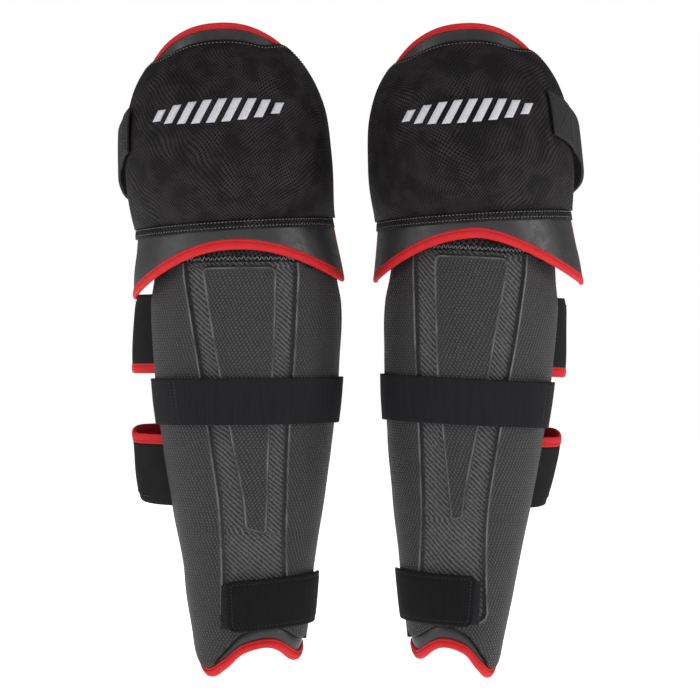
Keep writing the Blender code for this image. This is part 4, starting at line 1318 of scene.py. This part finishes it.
def frame_point(cut, side_share, up_share, inset, offset):
    """A point on a line that runs inset inside the knee backing's outline."""
    limit = KNEE_SIDE_ANGLE - KNEE_SIDE_BINDING * inset / KNEE_BINDING_WIDTH
    angle = side_share * limit
    low = knee_arch(cut, angle) + inset
    high = knee_top(angle) - inset
    return knee(angle, low + (high - low) * up_share, offset)


def tape_share(up_share):
    """The knee tape is folded narrower along the top edge."""
    return 1.0 - 0.38 * np.clip(np.asarray(up_share, float) * 6.0 - 5.0, 0.0, 1.0)


def add_knee_backing(guard):
    up = np.linspace(0, 1, 130)[:, None]
    side = np.linspace(-1, 1, 170)[None]
    limit = KNEE_SIDE_ANGLE - KNEE_SIDE_BINDING - 0.4
    angle = side * limit
    low = knee_arch(guard.cut, angle) + KNEE_BINDING_WIDTH - 0.3
    high = knee_top(angle) - KNEE_BINDING_WIDTH * tape_share(1.0) + 0.3
    height = low + (high - low) * up
    hem = guard.cut["hem"]
    seam = np.exp(-(((angle - guard.cut["flap_seam"]) * 1.4 / 1.1) ** 2)) * (height < hem)
    belly = 0.9 * np.sin(np.pi * np.clip((height - low) / 30.0, 0, 1)) * (height < hem + 8)
    waves = 0.5 * np.sin(angle / 9.0 + 0.7) * np.sin(angle / 23.0) * (height < hem + 12)
    outer = guard.knee(angle, height, belly * 0.6 + waves - 1.0 * seam)
    inner = guard.knee(angle, height, -2.5)
    piece = slab(f"{guard.name}_knee_flap", outer, inner, reach=0.05)
    guard.dress(piece, "smooth_panel", "knee", "knee_backing")

    across = np.sin(np.linspace(-np.pi / 2, np.pi / 2, 130))
    rise = (1 - np.cos(np.linspace(0, np.pi, 50))) / 2
    outline = [(s, 0.0) for s in across] + [(1.0, r) for r in rise[1:-1]]
    outline += [(s, 1.0) for s in across[::-1]] + [(-1.0, r) for r in rise[-2:0:-1]]
    outline = np.array(outline)
    inset, offset = tape_profile(KNEE_BINDING_WIDTH + 0.6, 4.0)
    inset = inset[None] * tape_share(outline[:, 1:])
    points = frame_point(
        guard.cut,
        outline[:, :1],
        outline[:, 1:],
        inset,
        offset - 0.9,
    )
    piece = sweep(f"{guard.name}_knee_tape", guard.place(points, "knee"), closed=True)
    guard.dress(piece, "red_binding", "knee", "knee_binding")

    def point(side, up_share, inset, lift):
        return guard.place(frame_point(guard.cut, side, up_share, inset, lift), "knee")

    for up_share in (0.0, 1.0):
        inset = SEAM_PLACE * (KNEE_BINDING_WIDTH + 0.6) * tape_share(up_share)

        def line(share, up_share=up_share, inset=inset):
            return -0.97 + 1.94 * share, up_share, inset, 0.1

        guard.threads["knee", "red"].row(point, line, radius=0.38, lift=0.3)


def add_dome(guard):
    side = np.linspace(-1, 1, 150)[None]
    up = np.linspace(0, 1, 120)[:, None]
    lump = 0.9 * np.sin(side * 5.0 + 1.0) * np.sin(up * 4.2 + guard.side)
    pull = 0.5 * np.sin(side * 31.0) * np.exp(-((up / 0.07) ** 2))
    lift = (lump * (1 - side**2) + pull) * (1 - np.abs(2 * up - 1) ** 6)
    outer = guard.place(dome_point(guard.cut, side, up, lift), "knee")
    inner = guard.place(dome_point(guard.cut, side, up, -2.0), "knee")
    piece = slab(f"{guard.name}_dome_cover", outer, inner, reach=0.2)
    guard.dress(piece, "mesh_fabric", "knee", "knee_cover")

    # The hem: flat, and drawn in at both ends.
    hem = guard.cut["hem"]
    angle = np.linspace(-DOME_SIDE_ANGLE, DOME_SIDE_ANGLE, 170)[None]
    share = np.linspace(0, 1, 12)[:, None]
    height = hem + HEM_WIDTH * share
    ends = np.clip((DOME_SIDE_ANGLE - np.abs(angle)) / 14.0, 0, 1)
    roll = 1.4 + (1.0 + 0.6 * np.sin(np.pi * share)) * ends
    outer = guard.knee(angle, height, roll)
    inner = guard.knee(angle, height, 0.9)
    piece = slab(f"{guard.name}_dome_hem", outer, inner, reach=0.2)
    guard.dress(piece, "mesh_fabric", "knee", "knee_hem")

    thread = guard.threads["knee", "grey"]
    for level, lift in ((hem + 2.0, 2.6), (hem + 6.4, 2.7)):

        def line(share, level=level, lift=lift):
            return (-0.86 + 1.72 * share) * DOME_SIDE_ANGLE, level, lift

        thread.row(guard.knee, line, pitch=3.0, length=1.9, radius=0.3, lift=0.1)

    def top_line(share):
        at = (-0.9 + 1.8 * share) * DOME_SIDE_ANGLE
        return at, dome_top(guard.cut, at) - 2.6, 0.2

    thread.row(guard.dome, top_line, pitch=3.2, length=1.9, radius=0.3, lift=0.1)


def add_badge(guard):
    """Plain slanted bars in satin stitch, longer in the middle of the row."""
    side, up = np.meshgrid(np.linspace(-0.5, 0.5, 9), np.linspace(-0.5, 0.5, 15))
    radius = follow(KNEE_SECTIONS, BADGE_HEIGHT)[0] + DOME_RISE
    (width, tallest), parts = BADGE_BAR, []
    for place in np.linspace(-1, 1, BADGE_BARS):
        tall = tallest * math.sqrt(1 - 0.78 * place**2)
        across = place * BADGE_REACH + side * width + up * tall * 0.55
        height = BADGE_HEIGHT + up * tall
        angle = np.degrees(np.arcsin(across / radius)) * guard.side
        border = np.minimum(0.5 - np.abs(side), (0.5 - np.abs(up)) * tall / width)
        lift = 1.1 + 0.8 * (1 - np.exp(-((border / 0.16) ** 2)))
        top, under = guard.dome(angle, height, lift), guard.dome(angle, height, 0.4)
        parts.append(slab_parts(top, under, reach=0.05))
    guard.dress(merged(f"{guard.name}_badge_bars", parts), "badge", "knee", "knee_badge")


def strap_middle(angle):
    path = ((42, 466), (62, 455), (82, 440), (100, 427), (130, 414), (180, 408), (262, 426))
    return follow(path, angle)[0]


def add_knee_strap(guard):
    """Webbing sewn to the dome, running into the elastic behind the knee."""
    # The patch follows the dome; the strap leaves it on a smooth line.
    start = guard.cut["strap_ends"]["knee"]
    angles = [np.linspace(start, 66, 34), np.linspace(67, 110, 50), np.linspace(111, 247, 90)]
    angles = np.concatenate(angles)
    angle = angles[None]
    share = np.linspace(-0.5, 0.5, 17)[:, None]
    height = strap_middle(angle) + share * (STRAP_WIDTH - 1)
    lift = ((66, 15.8), (74, 15.2), (84, 14.0), (96, 12.5), (115, 9), (140, 6), (180, 4), (247, 3))
    bottom = dome_bottom(guard.cut)
    up_share = (height - bottom) / (dome_top(guard.cut, np.minimum(angle, 88)) - bottom)
    side_share = np.minimum(angle / DOME_SIDE_ANGLE, 1)
    on_dome = DOME_EDGE + dome_rise(side_share, np.clip(up_share, 0, 1)) + 1.2
    free = follow(lift, angle)[0]
    ease = np.clip((angle - 58) / 12, 0, 1)
    ease = ease * ease * (3 - 2 * ease)
    base = on_dome * (1 - ease) + np.maximum(free, on_dome) * ease
    base = np.maximum(base, on_dome * (angle < 88))
    outer = guard.knee(angle, height, base + 2.3)
    inner = guard.knee(angle, height, base + 0.1)
    strap = slab(f"{guard.name}_knee_webbing", outer, inner, reach=0.12)
    hinge = guard.knee(65.0, 452.0, 17.0)
    away = np.array([0, 5 * MM, 0])
    bend = ("knee_strap", hinge - away, hinge + away)
    guard.dress(strap, "webbing", "knee", "knee_strap", "knee_strap_patch", bend=bend)

    def stitched(corners):
        """A line of stitches on the patch, through corners of angle and share of the width."""
        corners = np.array(corners, float)

        def line(share):
            at = np.clip(share, 0, 1) * (len(corners) - 1)
            angle, side = (np.interp(at, np.arange(len(corners)), values) for values in corners.T)
            return angle, strap_middle(angle) + side * STRAP_WIDTH, 3.4

        thread = guard.threads["knee", "black"]
        thread.row(guard.dome, line, pitch=2.6, length=1.9, radius=0.4, lift=0.3)

    near, wide = start + 2, 0.42
    stitched(((near, -wide), (near, wide), (61, wide), (61, -wide), (near, -wide)))
    for flip in (1, -1):
        stitched(((near, -flip * wide), (61, flip * wide)))

    band = (np.linspace(233, 262, 50), strap_middle, STRAP_WIDTH - 4, fixed(-1.0), 1.5)
    guard.dress(band_piece(guard, "loop_band", "knee", *band), "loop_tape", "knee", "knee_loop_tab")


def add_guard(guard):
    for add in (
        add_shell,
        add_layers,
        add_edge_bindings,
        add_top_band,
        add_ankle,
        add_link_tabs,
        add_calf_wrap,
        add_notch_tape,
        add_mid_strap,
        add_bottom_strap,
        add_loop_patch,
        add_knee_backing,
        add_dome,
        add_badge,
        add_knee_strap,
    ):
        add(guard)
    for (part, colour), thread in guard.threads.items():
        if thread.parts:
            piece = thread.make(f"{guard.name}_{part}_{colour}_stitches")
            guard.dress(piece, f"{colour}_thread", part)
    for node, look in (("knee_cup", "hard_plastic"), ("knee_dome_foam", "foam")):
        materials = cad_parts[f"{guard.name}_{node}"].data.materials
        materials.clear()
        materials.append(LOOKS[look])


for guard_name, pose in GUARDS.items():
    add_guard(Guard(guard_name, **pose))


# ---------------------------------------------------------------- studio


def add_light(name, place, target, size, power):
    light = bpy.data.lights.new(name, "AREA")
    light.shape = "RECTANGLE"
    light.size, light.size_y = size
    light.energy = power
    lamp = bpy.data.objects.new(name, light)
    bpy.context.scene.collection.objects.link(lamp)
    lamp.location = place
    away = np.array(place) - np.array(target)
    away /= np.linalg.norm(away)
    yaw = math.atan2(away[0], -away[1])
    pitch = math.acos(max(-1.0, min(1.0, away[2])))
    lamp.rotation_euler = (pitch, 0, yaw)


def add_studio():
    """A wide white floor, a white backdrop on every side, and soft lights in front."""
    points = [(x, y, -0.0006) for y in (-6.0, 6.0) for x in (-6.0, 6.0)]
    floor = mesh_object("white_floor", points, [(0, 1, 3, 2)])
    paint = bpy.data.materials.new("white_paper")
    paint.use_nodes = True
    shader = paint.node_tree.nodes["Principled BSDF"]
    shader.inputs["Base Color"].default_value = (0.95, 0.95, 0.95, 1)
    shader.inputs["Roughness"].default_value = 0.9
    shader.inputs["Emission Color"].default_value = (1, 1, 1, 1)
    shader.inputs["Emission Strength"].default_value = 1.0
    floor.data.materials.append(paint)
    world = bpy.data.worlds.new("studio")
    world.use_nodes = True
    backdrop = world.node_tree.nodes["Background"]
    backdrop.inputs["Color"].default_value = (1, 1, 1, 1)
    # The backdrop looks white, and lights the guards only a little.
    seen = world.node_tree.nodes.new("ShaderNodeLightPath")
    strength = world.node_tree.nodes.new("ShaderNodeMapRange")
    strength.inputs["To Min"].default_value = 0.22
    strength.inputs["To Max"].default_value = 1.0
    world.node_tree.links.new(seen.outputs["Is Camera Ray"], strength.inputs["Value"])
    world.node_tree.links.new(strength.outputs["Result"], backdrop.inputs["Strength"])
    bpy.context.scene.world = world
    middle = (0, 0, 0.3)
    add_light("key", (2.5, -0.9, 0.9), middle, (1.0, 1.4), 30)
    add_light("fill", (-2.5, -1.0, 1.0), middle, (1.0, 1.4), 24)
    add_light("top", (0.0, -1.0, 2.2), middle, (1.6, 1.0), 12)
    camera = bpy.data.objects.new("camera", bpy.data.cameras.new("camera"))
    bpy.context.scene.collection.objects.link(camera)
    camera.location = (-0.0012, -2.43, 0.273)
    camera.rotation_euler = (math.pi / 2, 0, 0)
    camera.data.sensor_width = 36
    camera.data.lens = 148.7
    camera.data.clip_end = 30
    bpy.context.scene.camera = camera
    bpy.context.scene.view_settings.view_transform = "Standard"


add_studio()
